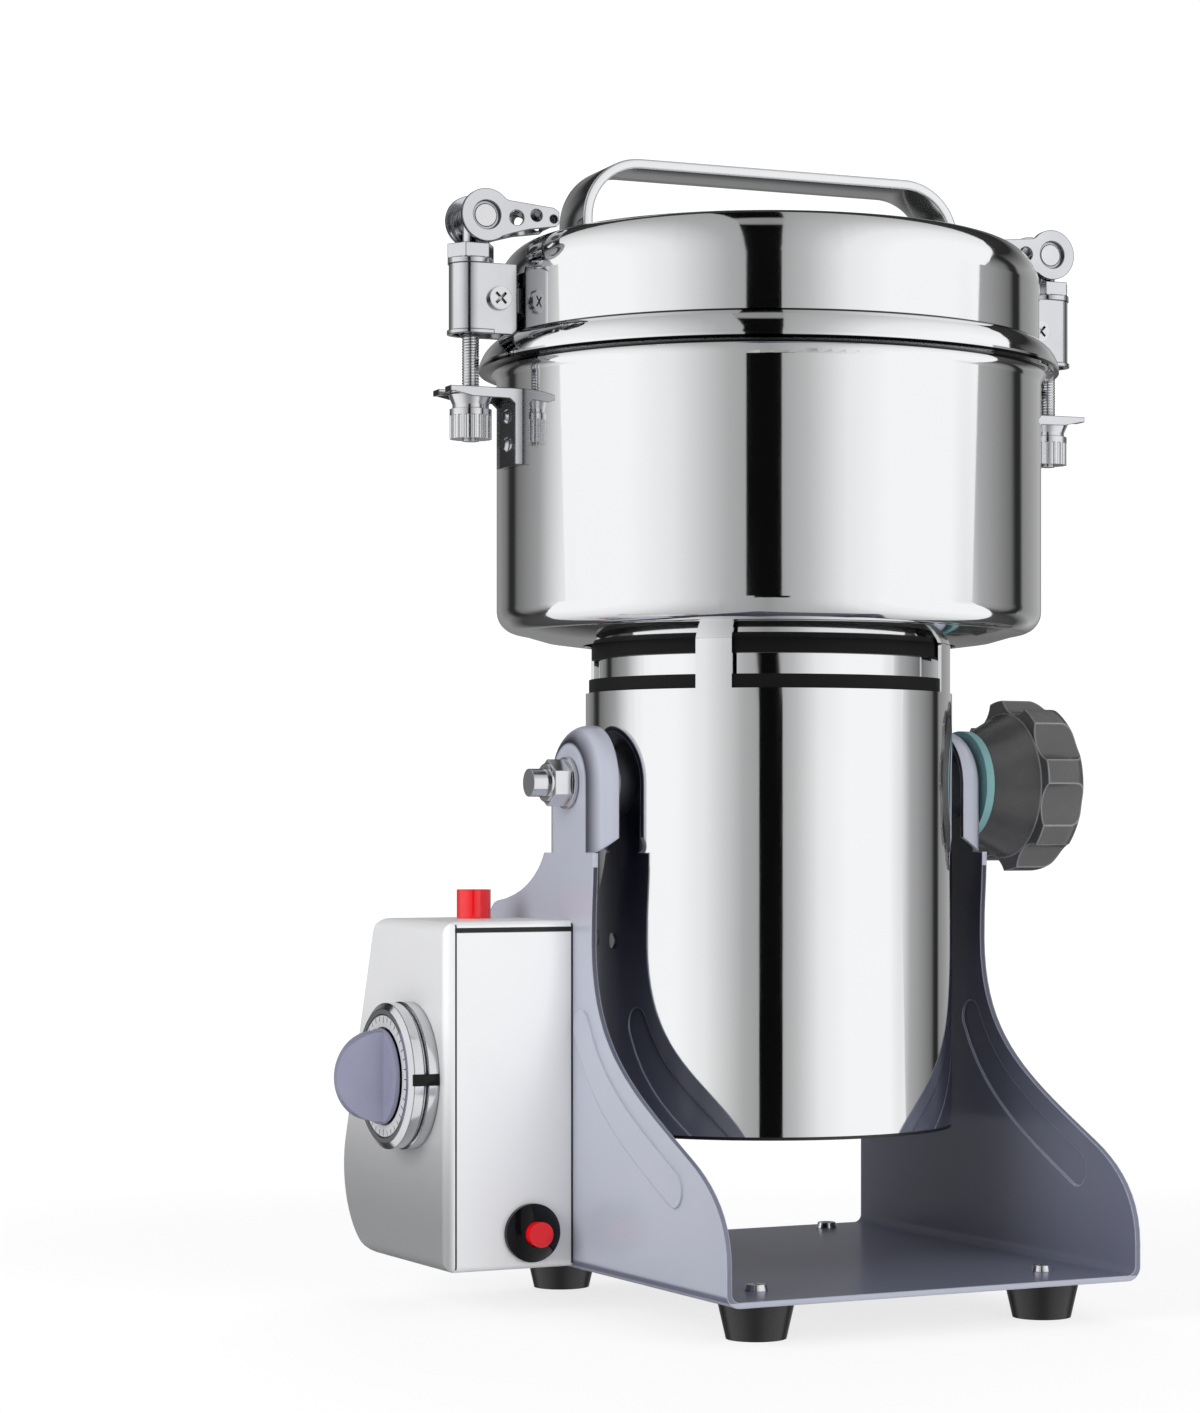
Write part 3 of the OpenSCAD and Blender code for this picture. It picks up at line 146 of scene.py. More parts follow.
def makeWorld(look):
    world = bpy.data.worlds.new("studio")
    bpy.context.scene.world = world
    world.use_nodes = True
    tree = world.node_tree
    tree.nodes.clear()
    facing = math.atan2(towardsCamera.y, towardsCamera.x)
    place = addNode(tree, "TexCoord")
    turned = addNode(tree, "VectorRotate", {"rotation_type": "Z_AXIS"}, {"Angle": -facing},
                     {"Vector": place.outputs["Generated"]})
    parts = addNode(tree, "SeparateXYZ", links={"Vector": turned.outputs["Vector"]})
    front, right, up = parts.outputs["X"], parts.outputs["Y"], parts.outputs["Z"]
    # the side of the boxes or of the dim room
    steep = addNode(tree, "Math", {"operation": "ABSOLUTE"}, links={0: up})
    leaning = addNode(tree, "Math", {"operation": "MULTIPLY_ADD"}, {1: look["overhead"]},
                      {0: steep.outputs[0], 2: front})
    isFront = addNode(tree, "Math", {"operation": "GREATER_THAN"}, {1: 0.0}, {0: leaning.outputs[0]})
    side = addNode(tree, "MapRange", values={"To Min": -1.0, "To Max": 1.0},
                   links={"Value": isFront.outputs[0]})
    frontSquared = addNode(tree, "Math", {"operation": "MULTIPLY"}, links={0: front, 1: front})
    both = addNode(tree, "Math", {"operation": "MULTIPLY_ADD"},
                   links={0: up, 1: up, 2: frontSquared.outputs[0]})
    length = addNode(tree, "Math", {"operation": "SQRT"}, links={0: both.outputs[0]})
    along = addNode(tree, "Math", {"operation": "MULTIPLY"},
                    links={0: length.outputs[0], 1: side.outputs[0]})
    around = addNode(tree, "Math", {"operation": "ARCTAN2"}, links={0: right, 1: along.outputs[0]})
    aroundShare = addNode(tree, "MapRange", values={"From Min": -math.pi, "From Max": math.pi},
                          links={"Value": around.outputs[0]})
    boxes = addNode(tree, "ValToRGB", links={"Fac": aroundShare.outputs[0]})
    setStops(boxes.color_ramp, [((angle + 180) / 360, grey(shown)) for angle, shown in look["boxes"]])
    # the flag stands on the floor
    flag, shift = look["flag"], look["flagShift"]
    middle = addNode(tree, "MapRange",
                     values={"From Min": shift["from"], "From Max": shift["to"],
                             "To Min": shift["low"], "To Max": shift["high"]}, links={"Value": up})
    # it narrows overhead, so that its image keeps its width over the rims
    rising = addNode(tree, "Math", {"operation": "DIVIDE"}, links={0: front, 1: length.outputs[0]})
    halved = addNode(tree, "Math", {"operation": "MULTIPLY_ADD"}, {1: 0.5, 2: 0.5}, {0: rising.outputs[0]})
    narrow = addNode(tree, "Math", {"operation": "SQRT"}, links={0: halved.outputs[0]})
    halfWidth = addNode(tree, "Math", {"operation": "MULTIPLY"}, {1: flag["halfWidth"]},
                        {0: narrow.outputs[0]})
    inFlag = addNode(tree, "Math", {"operation": "COMPARE"},
                     links={0: right, 1: middle.outputs[0], 2: halfWidth.outputs[0]})
    overFoot = addNode(tree, "Math", {"operation": "GREATER_THAN"}, {1: flag["foot"]}, {0: up})
    standing = addNode(tree, "Math", {"operation": "MULTIPLY"},
                       links={0: inFlag.outputs[0], 1: overFoot.outputs[0]})
    # straight overhead it ends, so that the top of the lid isn't black
    ending = addNode(tree, "MapRange", {"interpolation_type": "SMOOTHSTEP"},
                     {"From Min": flag["endFrom"], "From Max": flag["endTo"], "To Min": 1.0,
                      "To Max": flag["rest"]}, {"Value": up})
    upright = addNode(tree, "Math", {"operation": "MULTIPLY"},
                      links={0: standing.outputs[0], 1: ending.outputs[0]})
    flagged = addNode(tree, "Math", {"operation": "MULTIPLY"},
                      links={0: upright.outputs[0], 1: isFront.outputs[0]})
    withFlag = addNode(tree, "MixRGB", values={"Color2": grey(flag["tone"])},
                       links={"Fac": flagged.outputs[0], "Color1": boxes.outputs[0]})
    # the dim room
    elevation = addNode(tree, "Math", {"operation": "ARCSINE"}, links={0: up})
    upShare = addNode(tree, "MapRange", values={"From Min": -math.pi / 2, "From Max": math.pi / 2},
                      links={"Value": elevation.outputs[0]})
    strip = addNode(tree, "ValToRGB", links={"Fac": upShare.outputs[0]})
    setStops(strip.color_ramp, [((angle + 90) / 180, (share,) * 3 + (1,)) for angle, share in look["strip"]])
    dim = addNode(tree, "ValToRGB", links={"Fac": upShare.outputs[0]})
    setStops(dim.color_ramp, [((angle + 90) / 180, grey(shown)) for angle, shown in look["dim"]])
    lit = addNode(tree, "Math", {"operation": "MAXIMUM"},
                  links={0: strip.outputs[0], 1: isFront.outputs[0]})
    mirrored = addNode(tree, "MixRGB", links={"Fac": lit.outputs[0], "Color1": dim.outputs[0],
                                              "Color2": withFlag.outputs[0]})
    # matt surfaces get an even fill, and the camera sees white
    rays = addNode(tree, "LightPath")
    fill = (look["fill"],) * 3 + (1,)
    glossy = addNode(tree, "MixRGB", values={"Color1": fill},
                     links={"Fac": rays.outputs["Is Glossy Ray"], "Color2": mirrored.outputs[0]})
    seen = addNode(tree, "MixRGB", values={"Color2": (1, 1, 1, 1)},
                   links={"Fac": rays.outputs["Is Camera Ray"], "Color1": glossy.outputs[0]})
    shine = addNode(tree, "Background", values={"Strength": look["strength"]},
                    links={"Color": seen.outputs[0]})
    addNode(tree, "OutputWorld", links={"Surface": shine.outputs[0]})


# the paper keeps the object's shadow near it, and fades into white paper around
floorLook = {"size": 12.0, "colour": "#e9e9ea", "white": 1.1, "near": 0.34, "far": 1.0, "shareNear": 0.7}


def makeFloor(look):
    bpy.ops.mesh.primitive_plane_add(size=look["size"], location=(axis.x, axis.y, 0))
    floor = bpy.context.object
    floor.name = "floor"
    floor.visible_glossy = False  # the steel keeps its bands down to its lower edges
    paper = bpy.data.materials.new("pale backdrop paper")
    paper.use_nodes = True
    tree = paper.node_tree
    tree.nodes.clear()
    matt = addNode(tree, "BsdfDiffuse", values={"Color": linear(look["colour"])})
    bright = addNode(tree, "Emission", values={"Strength": look["white"]})
    rays = addNode(tree, "LightPath")
    place = addNode(tree, "TexCoord")
    away = addNode(tree, "VectorMath", {"operation": "LENGTH"}, links={0: place.outputs["Object"]})
    fading = addNode(tree, "MapRange",
                     values={"From Min": look["near"], "From Max": look["far"], "To Min": look["shareNear"]},
                     links={"Value": away.outputs["Value"]})
    share = addNode(tree, "Math", {"operation": "MULTIPLY"},
                    links={0: fading.outputs[0], 1: rays.outputs["Is Camera Ray"]})
    both = addNode(tree, "MixShader", links={0: share.outputs[0], 1: matt.outputs[0], 2: bright.outputs[0]})
    addNode(tree, "OutputMaterial", links={"Surface": both.outputs[0]})
    floor.data.materials.append(paper)


lamps = {
    "key": {"turned": -78, "height": 0.55, "away": 1.25, "size": 0.9, "watts": 10.5},
    "front": {"turned": 10, "height": 0.6, "away": 1.5, "size": 1.0, "watts": 12.0},
    "back": {"turned": 150, "height": 1.0, "away": 1.4, "size": 1.0, "watts": 10.0},
}
lampsAimAt = 0.18  # this high on the axis


def makeLamps(lamps):
    target = Vector((axis.x, axis.y, lampsAimAt))
    for name, lamp in lamps.items():
        turned = math.radians(lamp["turned"])
        towards = Vector((math.sin(turned), -math.cos(turned), 0))
        place = Vector((axis.x, axis.y, lamp["height"])) + towards * lamp["away"]
        bpy.ops.object.light_add(type="AREA", location=place)
        light = bpy.context.object
        light.name = name + "_lamp"
        light.rotation_euler = (target - place).to_track_quat("-Z", "Y").to_euler()
        light.data.size = lamp["size"]
        light.data.energy = lamp["watts"]
        light.visible_glossy = False


# ---- materials

# how much of a finish's roughness follows the drift and how much the grain, and the range this is read over
wear = {"drift": 0.55, "grain": 0.45, "shift": -0.02, "from": 0.3, "to": 0.7}


# every finish starts here: two tones that drift over the surface, a roughness that drifts between two
# values, and a fine grain in the bump. Sizes are millimetres on the object
def newFinish(look):
    material = bpy.data.materials.new(look["name"])
    material.use_nodes = True
    tree = material.node_tree
    shader = tree.nodes["Principled BSDF"]
    shader.inputs["Metallic"].default_value = look.get("metallic", 0.0)
    if "ior" in look:
        shader.inputs["IOR"].default_value = look["ior"]
    for socket in ("Coat Weight", "Coat Roughness", "Anisotropic", "Subsurface Weight"):
        if socket in look:
            shader.inputs[socket].default_value = look[socket]
    place = addNode(tree, "TexCoord")
    stretched = addNode(tree, "Mapping", values={"Scale": look.get("stretch", (1, 1, 1))},
                        links={"Vector": place.outputs["Object"]})
    drift = addNode(tree, "TexNoise", values={"Scale": 1000 / look["patch"], "Detail": 3.0},
                    links={"Vector": place.outputs["Object"]})
    grain = addNode(tree, "TexNoise", values={"Scale": 1000 / look["grain"], "Detail": 2.0},
                    links={"Vector": stretched.outputs["Vector"]})
    light, dark = look["tones"]
    tone = addNode(tree, "MixRGB", values={"Color1": linear(light), "Color2": linear(dark)},
                   links={"Fac": drift.outputs["Fac"]})
    fine = addNode(tree, "Math", {"operation": "MULTIPLY_ADD"}, {1: wear["grain"], 2: wear["shift"]},
                   {0: grain.outputs["Fac"]})
    mixed = addNode(tree, "Math", {"operation": "MULTIPLY_ADD"}, {1: wear["drift"]},
                    {0: drift.outputs["Fac"], 2: fine.outputs[0]})
    smooth, dull = look["roughness"]
    rough = addNode(tree, "MapRange",
                    values={"From Min": wear["from"], "From Max": wear["to"], "To Min": smooth,
                            "To Max": dull}, links={"Value": mixed.outputs[0]})
    bump = addNode(tree, "Bump", values={"Strength": look["bump"], "Distance": look["depth"] * mm},
                   links={"Height": grain.outputs["Fac"]})
    if "edge" in look:  # the radius that its edges were broken to
        rounded = addNode(tree, "Bevel", {"samples": 6}, {"Radius": look["edge"] * mm})
        tree.links.new(rounded.outputs["Normal"], bump.inputs["Normal"])
    tree.links.new(tone.outputs[0], shader.inputs["Base Color"])
    tree.links.new(rough.outputs[0], shader.inputs["Roughness"])
    tree.links.new(bump.outputs[0], shader.inputs["Normal"])
    return material


def baseColour(material):
    shader = material.node_tree.nodes["Principled BSDF"]
    return shader.inputs["Base Color"].links[0].from_socket


# lays a second colour over the first where the factor is 1
def layOver(material, colour, factor):
    tree = material.node_tree
    laid = addNode(tree, "MixRGB", values={"Color2": linear(colour)},
                   links={"Fac": factor, "Color1": baseColour(material)})
    tree.links.new(laid.outputs[0], tree.nodes["Principled BSDF"].inputs["Base Color"])


# 1 where the socket is over the limit, fading in over a soft width
def over(tree, socket, limit, soft=0.0001):
    return addNode(tree, "MapRange", values={"From Min": limit - soft, "From Max": limit + soft},
                   links={"Value": socket}).outputs[0]


def times(tree, one, other):
    return addNode(tree, "Math", {"operation": "MULTIPLY"}, links={0: one, 1: other}).outputs[0]


def without(tree, one, other):
    rest = addNode(tree, "Math", {"operation": "SUBTRACT"}, {0: 1.0}, {1: other})
    return times(tree, one, rest.outputs[0])


def placeOn(tree):
    place = addNode(tree, "TexCoord")
    parts = addNode(tree, "SeparateXYZ", links={"Vector": place.outputs["Object"]})
    return parts.outputs["X"], parts.outputs["Y"], parts.outputs["Z"]


# painted shade on the frame: between its side plates the lavender enamel is darkened to a deep navy, paler at
# the floor plate, standing in for the shade inside the frame
def shadeInside(material, look):
    tree = material.node_tree
    x, _, z = placeOn(tree)
    fromMiddle = addNode(tree, "Math", {"operation": "SUBTRACT"}, {1: axis.x}, {0: x})
    across = addNode(tree, "Math", {"operation": "ABSOLUTE"}, links={0: fromMiddle.outputs[0]})
    low, high = boxOf("base_frame")
    plateIn = (high.x - low.x) / 2 - look["sheet"]
    between = without(tree, over(tree, z, low.z + look["sheet"] - look["margin"]),
                      over(tree, across.outputs[0], plateIn + look["ribDepth"]))
    # the rims of the bosses turn their outside to the front and up, and the painted shade leaves them out
    facing = addNode(tree, "NewGeometry")
    turned = addNode(tree, "SeparateXYZ", links={"Vector": facing.outputs["Normal"]})
    turnedOut = addNode(tree, "Math", {"operation": "ABSOLUTE"}, links={0: turned.outputs["X"]})
    flat = over(tree, turnedOut.outputs[0], look["flatFrom"], look["flatSoft"])
    rim = without(tree, over(tree, z, look["bossFrom"]), flat)
    inside = without(tree, between, rim)
    deep = addNode(tree, "MapRange", {"interpolation_type": "SMOOTHSTEP"},
                   {"From Min": look["paleTo"], "From Max": look["deepFrom"]}, {"Value": z})
    shadeTone = addNode(tree, "MixRGB", values={"Color1": linear(look["pale"]), "Color2": linear(look["deep"])},
                   links={"Fac": deep.outputs[0]})
    mixed = addNode(tree, "MixRGB",
                    links={"Fac": inside, "Color1": baseColour(material), "Color2": shadeTone.outputs[0]})
    tree.links.new(mixed.outputs[0], tree.nodes["Principled BSDF"].inputs["Base Color"])


# painted shade inside the frame: pale is its colour at the floor plate, deep its colour high up between the
# plates
insideShade = {"sheet": 0.002, "margin": 0.0002, "ribDepth": 0.00095, "bossFrom": 0.158, "flatFrom": 0.75,
               "flatSoft": 0.2, "paleTo": 0.04, "deepFrom": 0.165, "pale": "#6c6f82", "deep": "#1b1d2e"}


# thin dark lines around the pot, where two pieces of steel meet: a dark joint with painted shade of the gap
# under the rim and at the lid's shoulder. Heights from the pot's upper edge
def jointShadeLines(material, lines):
    tree = material.node_tree
    z = placeOn(tree)[2]
    seam = boxOf("pot")[1].z
    for line in lines:
        band = without(tree, over(tree, z, seam + line["from"]), over(tree, z, seam + line["to"]))
        layOver(material, line["colour"], band)


# painted shade: the band under the rim and the line at the lid's shoulder
potJointShadeLines = [{"from": -0.0021, "to": -0.0001, "colour": "#08080a"},
            {"from": 0.0088, "to": 0.0097, "colour": "#0c0c0e"}]


# painted light on the edges of a piece: where its surface turns within the radius, another tone is laid over
# its colour, a painted dark reflection on the chrome and the strap and a painted highlight on the knob and
# the enamel
def paintEdgeLight(material, look):
    tree = material.node_tree
    rounded = addNode(tree, "Bevel", {"samples": 8}, {"Radius": look["radius"] * mm})
    plain = addNode(tree, "NewGeometry")
    alike = addNode(tree, "VectorMath", {"operation": "DOT_PRODUCT"},
                    links={0: rounded.outputs["Normal"], 1: plain.outputs["Normal"]})
    edge = addNode(tree, "MapRange",
                   values={"From Min": look["from"], "From Max": look["to"], "To Max": look["most"]},
                   links={"Value": alike.outputs["Value"]})
    layOver(material, look["colour"], edge.outputs[0])


# "from" and "to" are how far the rounded surface may lean off the plain one, as a cosine
# painted dark reflection on the edges of the chrome and of the strap
chromeEdgeReflection = {"radius": 0.6, "from": 0.998, "to": 0.93, "most": 0.8, "colour": "#3b3c40"}
strapEdgeReflection = {"radius": 1.3, "from": 0.998, "to": 0.93, "most": 0.9, "colour": "#2c2d30"}
knobEdgeHighlight = {"radius": 1.0, "from": 0.999, "to": 0.965, "most": 0.75, "colour": "#aaaaac"}  # painted highlight on the edges
enamelEdgeHighlight = {"radius": 0.9, "from": 0.99, "to": 0.85, "most": 0.6, "colour": "#c9ccdc"}  # painted highlight on the edges


# painted shade: the outer side face of the box is darkened towards the table, standing in for the dark table
# it mirrors, and black seams show where its front is folded in
def shadeBox(material, look):
    tree = material.node_tree
    x, y, z = placeOn(tree)
    low, high = boxOf("box_cover")
    onSide = addNode(tree, "MapRange", {"interpolation_type": "SMOOTHSTEP"},
                     {"From Min": low.x + look["edge"], "From Max": low.x + look["edge"] / 4},
                     {"Value": x})
    lower = addNode(tree, "MapRange", {"interpolation_type": "SMOOTHSTEP"},
                    {"From Min": high.z - look["fadeTop"], "From Max": low.z + look["fadeFoot"],
                     "To Max": look["most"]}, {"Value": z})
    layOver(material, look["colour"], times(tree, onSide.outputs[0], lower.outputs[0]))
    onFront = without(tree, over(tree, x, low.x + look["seamFrom"]), over(tree, y, low.y + look["skin"]))
    for line in look["seams"]:
        along = {"x": x, "z": z}[line["along"]]
        start = {"x": low.x, "z": high.z}[line["along"]]
        band = without(tree, over(tree, along, start + line["from"]),
                       over(tree, along, start + line["to"]))
        layOver(material, look["seamColour"], times(tree, onFront, band))


# painted shade: colour and most give the darkening laid on the side face towards the table
boxShade = {"edge": 0.004, "fadeTop": 0.022, "fadeFoot": 0.012, "most": 0.9, "colour": "#8a8b8d",
            "seamFrom": 0.0034, "skin": 0.0004, "seamColour": "#0b0b0c",
            "seams": [{"along": "z", "from": -0.004, "to": -0.0022},
                      {"along": "x", "from": 0.0034, "to": 0.0041},
                      {"along": "x", "from": 0.0482, "to": 0.049}]}


# painted shade: the plating is darkened in its corners, where ambient occlusion finds the surface shut in
def paintCornerShade(material, look):
    tree = material.node_tree
    openness = addNode(tree, "AmbientOcclusion", {"samples": look["samples"]}, {"Distance": look["reach"]})
    corner = addNode(tree, "MapRange", {"interpolation_type": "SMOOTHSTEP"},
                     {"From Min": look["open"], "From Max": look["shut"]}, {"Value": openness.outputs["AO"]})
    layOver(material, look["colour"], corner.outputs[0])


# painted shade in the corners of the plating
cornerShade = {"reach": 0.005, "samples": 16, "open": 0.72, "shut": 0.3, "colour": "#404145"}


# stainless 304, buffed to a mirror: sharp reflections, with hairlines from the wheel that show only up close
mirrorSteel = {"name": "mirror polished stainless steel", "tones": ("#eceded", "#e6e7e9"), "metallic": 1.0,
               "roughness": (0.035, 0.075), "patch": 70, "grain": 0.5, "stretch": (1, 1, 0.02), "bump": 0.03,
               "depth": 0.01}
# the handle is bent from the same sheet; its buffed edges are dull
strapSteel = {"name": "buffed stainless strap", "tones": ("#e6e7e8", "#dfe0e2"), "metallic": 1.0,
              "roughness": (0.08, 0.14), "patch": 30, "grain": 0.5, "stretch": (0.05, 1, 1), "bump": 0.03,
              "depth": 0.01, "edge": 0.9}
# the box is folded from stainless sheet under a clear lacquer: pale, with a soft sheen and upright lines
sheetSteel = {"name": "bright rolled stainless sheet", "tones": ("#ebebec", "#e4e5e6"), "metallic": 0.15,
              "roughness": (0.3, 0.38), "patch": 50, "grain": 0.4, "stretch": (1, 1, 0.03), "bump": 0.05,
              "depth": 0.01, "edge": 0.7}
# turned and plated steel of screws, rods and nuts: bright, a little soft at the turning marks
platedSteel = {"name": "bright nickel plated steel", "tones": ("#e0e0e2", "#cfd0d4"), "metallic": 1.0,
               "roughness": (0.1, 0.2), "patch": 12, "grain": 0.25, "bump": 0.08, "depth": 0.01,
               "edge": 0.3}
# chrome on the pressed latch parts and the dial
chromePlate = {"name": "chrome plated pressed steel", "tones": ("#d9dadd", "#c8c9cd"), "metallic": 1.0,
               "roughness": (0.1, 0.18), "patch": 15, "grain": 0.3, "bump": 0.05, "depth": 0.01, "edge": 0.5}
# the timer's face is brushed and lacquered, so it stays pale
dialFace = {"name": "lacquered silver dial face", "tones": ("#dedfe1", "#d3d4d7"), "metallic": 0.25,
            "roughness": (0.3, 0.4), "patch": 10, "grain": 0.3, "stretch": (1, 0.1, 1), "bump": 0.04,
            "depth": 0.01}
# baked enamel on the folded frame: lavender grey, with the fine orange peel of sprayed paint
lavenderEnamel = {"name": "lavender grey baked enamel", "tones": ("#a8abb9", "#b2b5c2"), "ior": 1.5,
                  "roughness": (0.28, 0.34), "Coat Weight": 0.2, "Coat Roughness": 0.16, "patch": 60,
                  "grain": 1.6, "bump": 0.02, "depth": 0.01, "edge": 1.1}
# glass filled nylon of the star knob: charcoal, with the fine grain of an eroded mould
charcoalNylon = {"name": "charcoal glass filled nylon", "tones": ("#454546", "#525253"), "ior": 1.6,
                 "roughness": (0.22, 0.3), "patch": 14, "grain": 0.35, "bump": 0.1, "depth": 0.02,
                 "edge": 1.2}
# the timer's knob is moulded in the colour of the frame
lavenderAbs = {"name": "lavender grey ABS", "tones": ("#82839a", "#8d8ea3"), "ior": 1.53,
               "roughness": (0.26, 0.36), "patch": 10, "grain": 0.3, "bump": 0.08, "depth": 0.02, "edge": 0.8}
redAbs = {"name": "glossy red ABS", "tones": ("#ea131d", "#da0f19"), "ior": 1.53, "roughness": (0.06, 0.12),
          "Coat Weight": 0.4, "Coat Roughness": 0.04, "patch": 8, "grain": 0.4, "bump": 0.03, "depth": 0.01,
          "edge": 0.5}
blackPhenolic = {"name": "glossy black phenolic", "tones": ("#08080a", "#0e0e11"), "ior": 1.3,
                 "roughness": (0.05, 0.11), "patch": 10, "grain": 0.4, "bump": 0.03, "depth": 0.01}
blackNylon = {"name": "black moulded nylon", "tones": ("#111113", "#19191b"), "ior": 1.53,
              "roughness": (0.3, 0.42), "patch": 14, "grain": 0.35, "bump": 0.12, "depth": 0.02}
footRubber = {"name": "black moulded rubber", "tones": ("#0e0e0f", "#171718"), "ior": 1.52,
              "roughness": (0.28, 0.42), "patch": 10, "grain": 0.5, "bump": 0.12, "depth": 0.03}
# the neck's rings are soft rubber that takes up light
neckRubber = {"name": "soft black rubber", "tones": ("#050506", "#0b0b0c"), "ior": 1.3,
              "roughness": (0.5, 0.62), "patch": 10, "grain": 0.5, "bump": 0.1, "depth": 0.03}
tealFibre = {"name": "teal vulcanised fibre", "tones": ("#6c9a9d", "#83adaf"), "ior": 1.5,
             "roughness": (0.55, 0.7), "patch": 6, "grain": 0.25, "bump": 0.2, "depth": 0.03}
whiteNylon = {"name": "natural nylon", "tones": ("#dcd8ca", "#e6e2d6"), "ior": 1.53, "roughness": (0.35, 0.5),
              "patch": 20, "grain": 0.4, "bump": 0.08, "depth": 0.02, "Subsurface Weight": 0.05}
clearSilicone = {"name": "milky silicone", "tones": ("#e2dfd6", "#ece9e2"), "ior": 1.41,
                 "roughness": (0.35, 0.5), "patch": 20, "grain": 0.5, "bump": 0.08, "depth": 0.02,
                 "Subsurface Weight": 0.1}
castAluminium = {"name": "sand cast aluminium", "tones": ("#b1b3b7", "#a2a4a9"), "metallic": 1.0,
                 "roughness": (0.38, 0.55), "patch": 9, "grain": 0.7, "bump": 0.35, "depth": 0.08}
laminatedSteel = {"name": "varnished steel laminations", "tones": ("#54565b", "#6b6d72"), "metallic": 0.8,
                  "roughness": (0.35, 0.5), "patch": 12, "grain": 0.5, "stretch": (0.02, 0.02, 1),
                  "bump": 0.5, "depth": 0.06}
copperWire = {"name": "enamelled copper windings", "tones": ("#a5562a", "#b9693a"), "metallic": 0.9,
              "roughness": (0.22, 0.34), "patch": 9, "grain": 0.8, "stretch": (1, 1, 0.2), "bump": 0.5,
              "depth": 0.1}
turnedBrass = {"name": "turned brass", "tones": ("#b79a4a", "#c7ab5c"), "metallic": 1.0,
               "roughness": (0.18, 0.3), "patch": 8, "grain": 0.25, "bump": 0.1, "depth": 0.01}
pressedCarbon = {"name": "pressed carbon", "tones": ("#232325", "#303032"), "ior": 1.7,
                 "roughness": (0.5, 0.65), "patch": 4, "grain": 0.2, "bump": 0.3, "depth": 0.03}
groundSteel = {"name": "ground blade steel", "tones": ("#c6c7ca", "#b8b9bd"), "metallic": 1.0,
               "roughness": (0.2, 0.32), "patch": 20, "grain": 0.2, "stretch": (0.05, 1, 1), "bump": 0.15,
               "depth": 0.01}

finishes = {
    "grey_paint": lavenderEnamel, "black_rubber": footRubber, "neck_rubber": neckRubber,
    "screw_zinc": platedSteel, "box_steel": sheetSteel, "barrel_steel": mirrorSteel,
    "pot_steel": mirrorSteel, "lid_steel": mirrorSteel, "handle_steel": strapSteel,
    "neck_steel": mirrorSteel, "latch_steel": chromePlate, "bolt_steel": platedSteel,
    "blade_steel": groundSteel, "bearing_steel": platedSteel, "dial_chrome": chromePlate,
    "grip_plastic": lavenderAbs, "knob_plastic": charcoalNylon, "black_plastic": blackNylon,
    "cap_plastic": blackPhenolic, "red_plastic": redAbs, "inner_plastic": whiteNylon,
    "washer_fibre": tealFibre, "cast_aluminium": castAluminium, "lamination": laminatedSteel,
    "copper": copperWire, "brass_parts": turnedBrass, "carbon": pressedCarbon,
    "seal_silicone": clearSilicone,
}


# ---- pieces that finish the solids

def deselect():
    bpy.ops.object.select_all(action="DESELECT")


# selects the faces or edges that pass the test, and stays in edit mode
def selectWhere(part, test):
    mesh = bpy.context.object.data
    bpy.ops.object.mode_set(mode="EDIT")
    bpy.ops.mesh.select_mode(type=part)
    bpy.ops.mesh.select_all(action="DESELECT")
    bpy.ops.object.mode_set(mode="OBJECT")
    for element in mesh.polygons if part == "FACE" else mesh.edges:
        element.select = test(element)
    bpy.ops.object.mode_set(mode="EDIT")


# draws the selected rim out by a move, and then scales the new rim about its middle
def drawRim(move, shrink):
    bpy.ops.mesh.extrude_region_move(TRANSFORM_OT_translate={"value": move})
    bpy.ops.transform.resize(value=shrink)


def outwardNormals():
    bpy.ops.mesh.select_all(action="SELECT")
    bpy.ops.mesh.normals_make_consistent(inside=False)
    bpy.ops.object.mode_set(mode="OBJECT")


def addModifier(piece, kind, settings):
    modifier = piece.modifiers.new(kind.lower(), kind)
    for name, value in settings.items():
        setattr(modifier, name, value)
    bpy.ops.object.modifier_apply(modifier=modifier.name)


# names the piece, gives it its finish and body, and puts its place into its mesh
def finishPiece(piece, name, look, body, angle=30):
    piece.name = name
    piece.data.name = name
    bpy.ops.object.transform_apply(location=True, rotation=True, scale=True)
    bpy.ops.object.shade_smooth_by_angle(angle=math.radians(angle))
    piece.data.materials.clear()
    piece.data.materials.append(materials[look["name"]])
    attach(piece, body)
    deselect()
    print("made", name)


# the lid's handle: one strap with soft edges, bent up at both ends
handle = {"bend": 0.022, "edge": 0.0004, "thick": 0.0035, "width": 0.0255, "half": 0.0745,
          "shift": -0.003, "turned": math.radians(-4.7), "near": 1e-5}


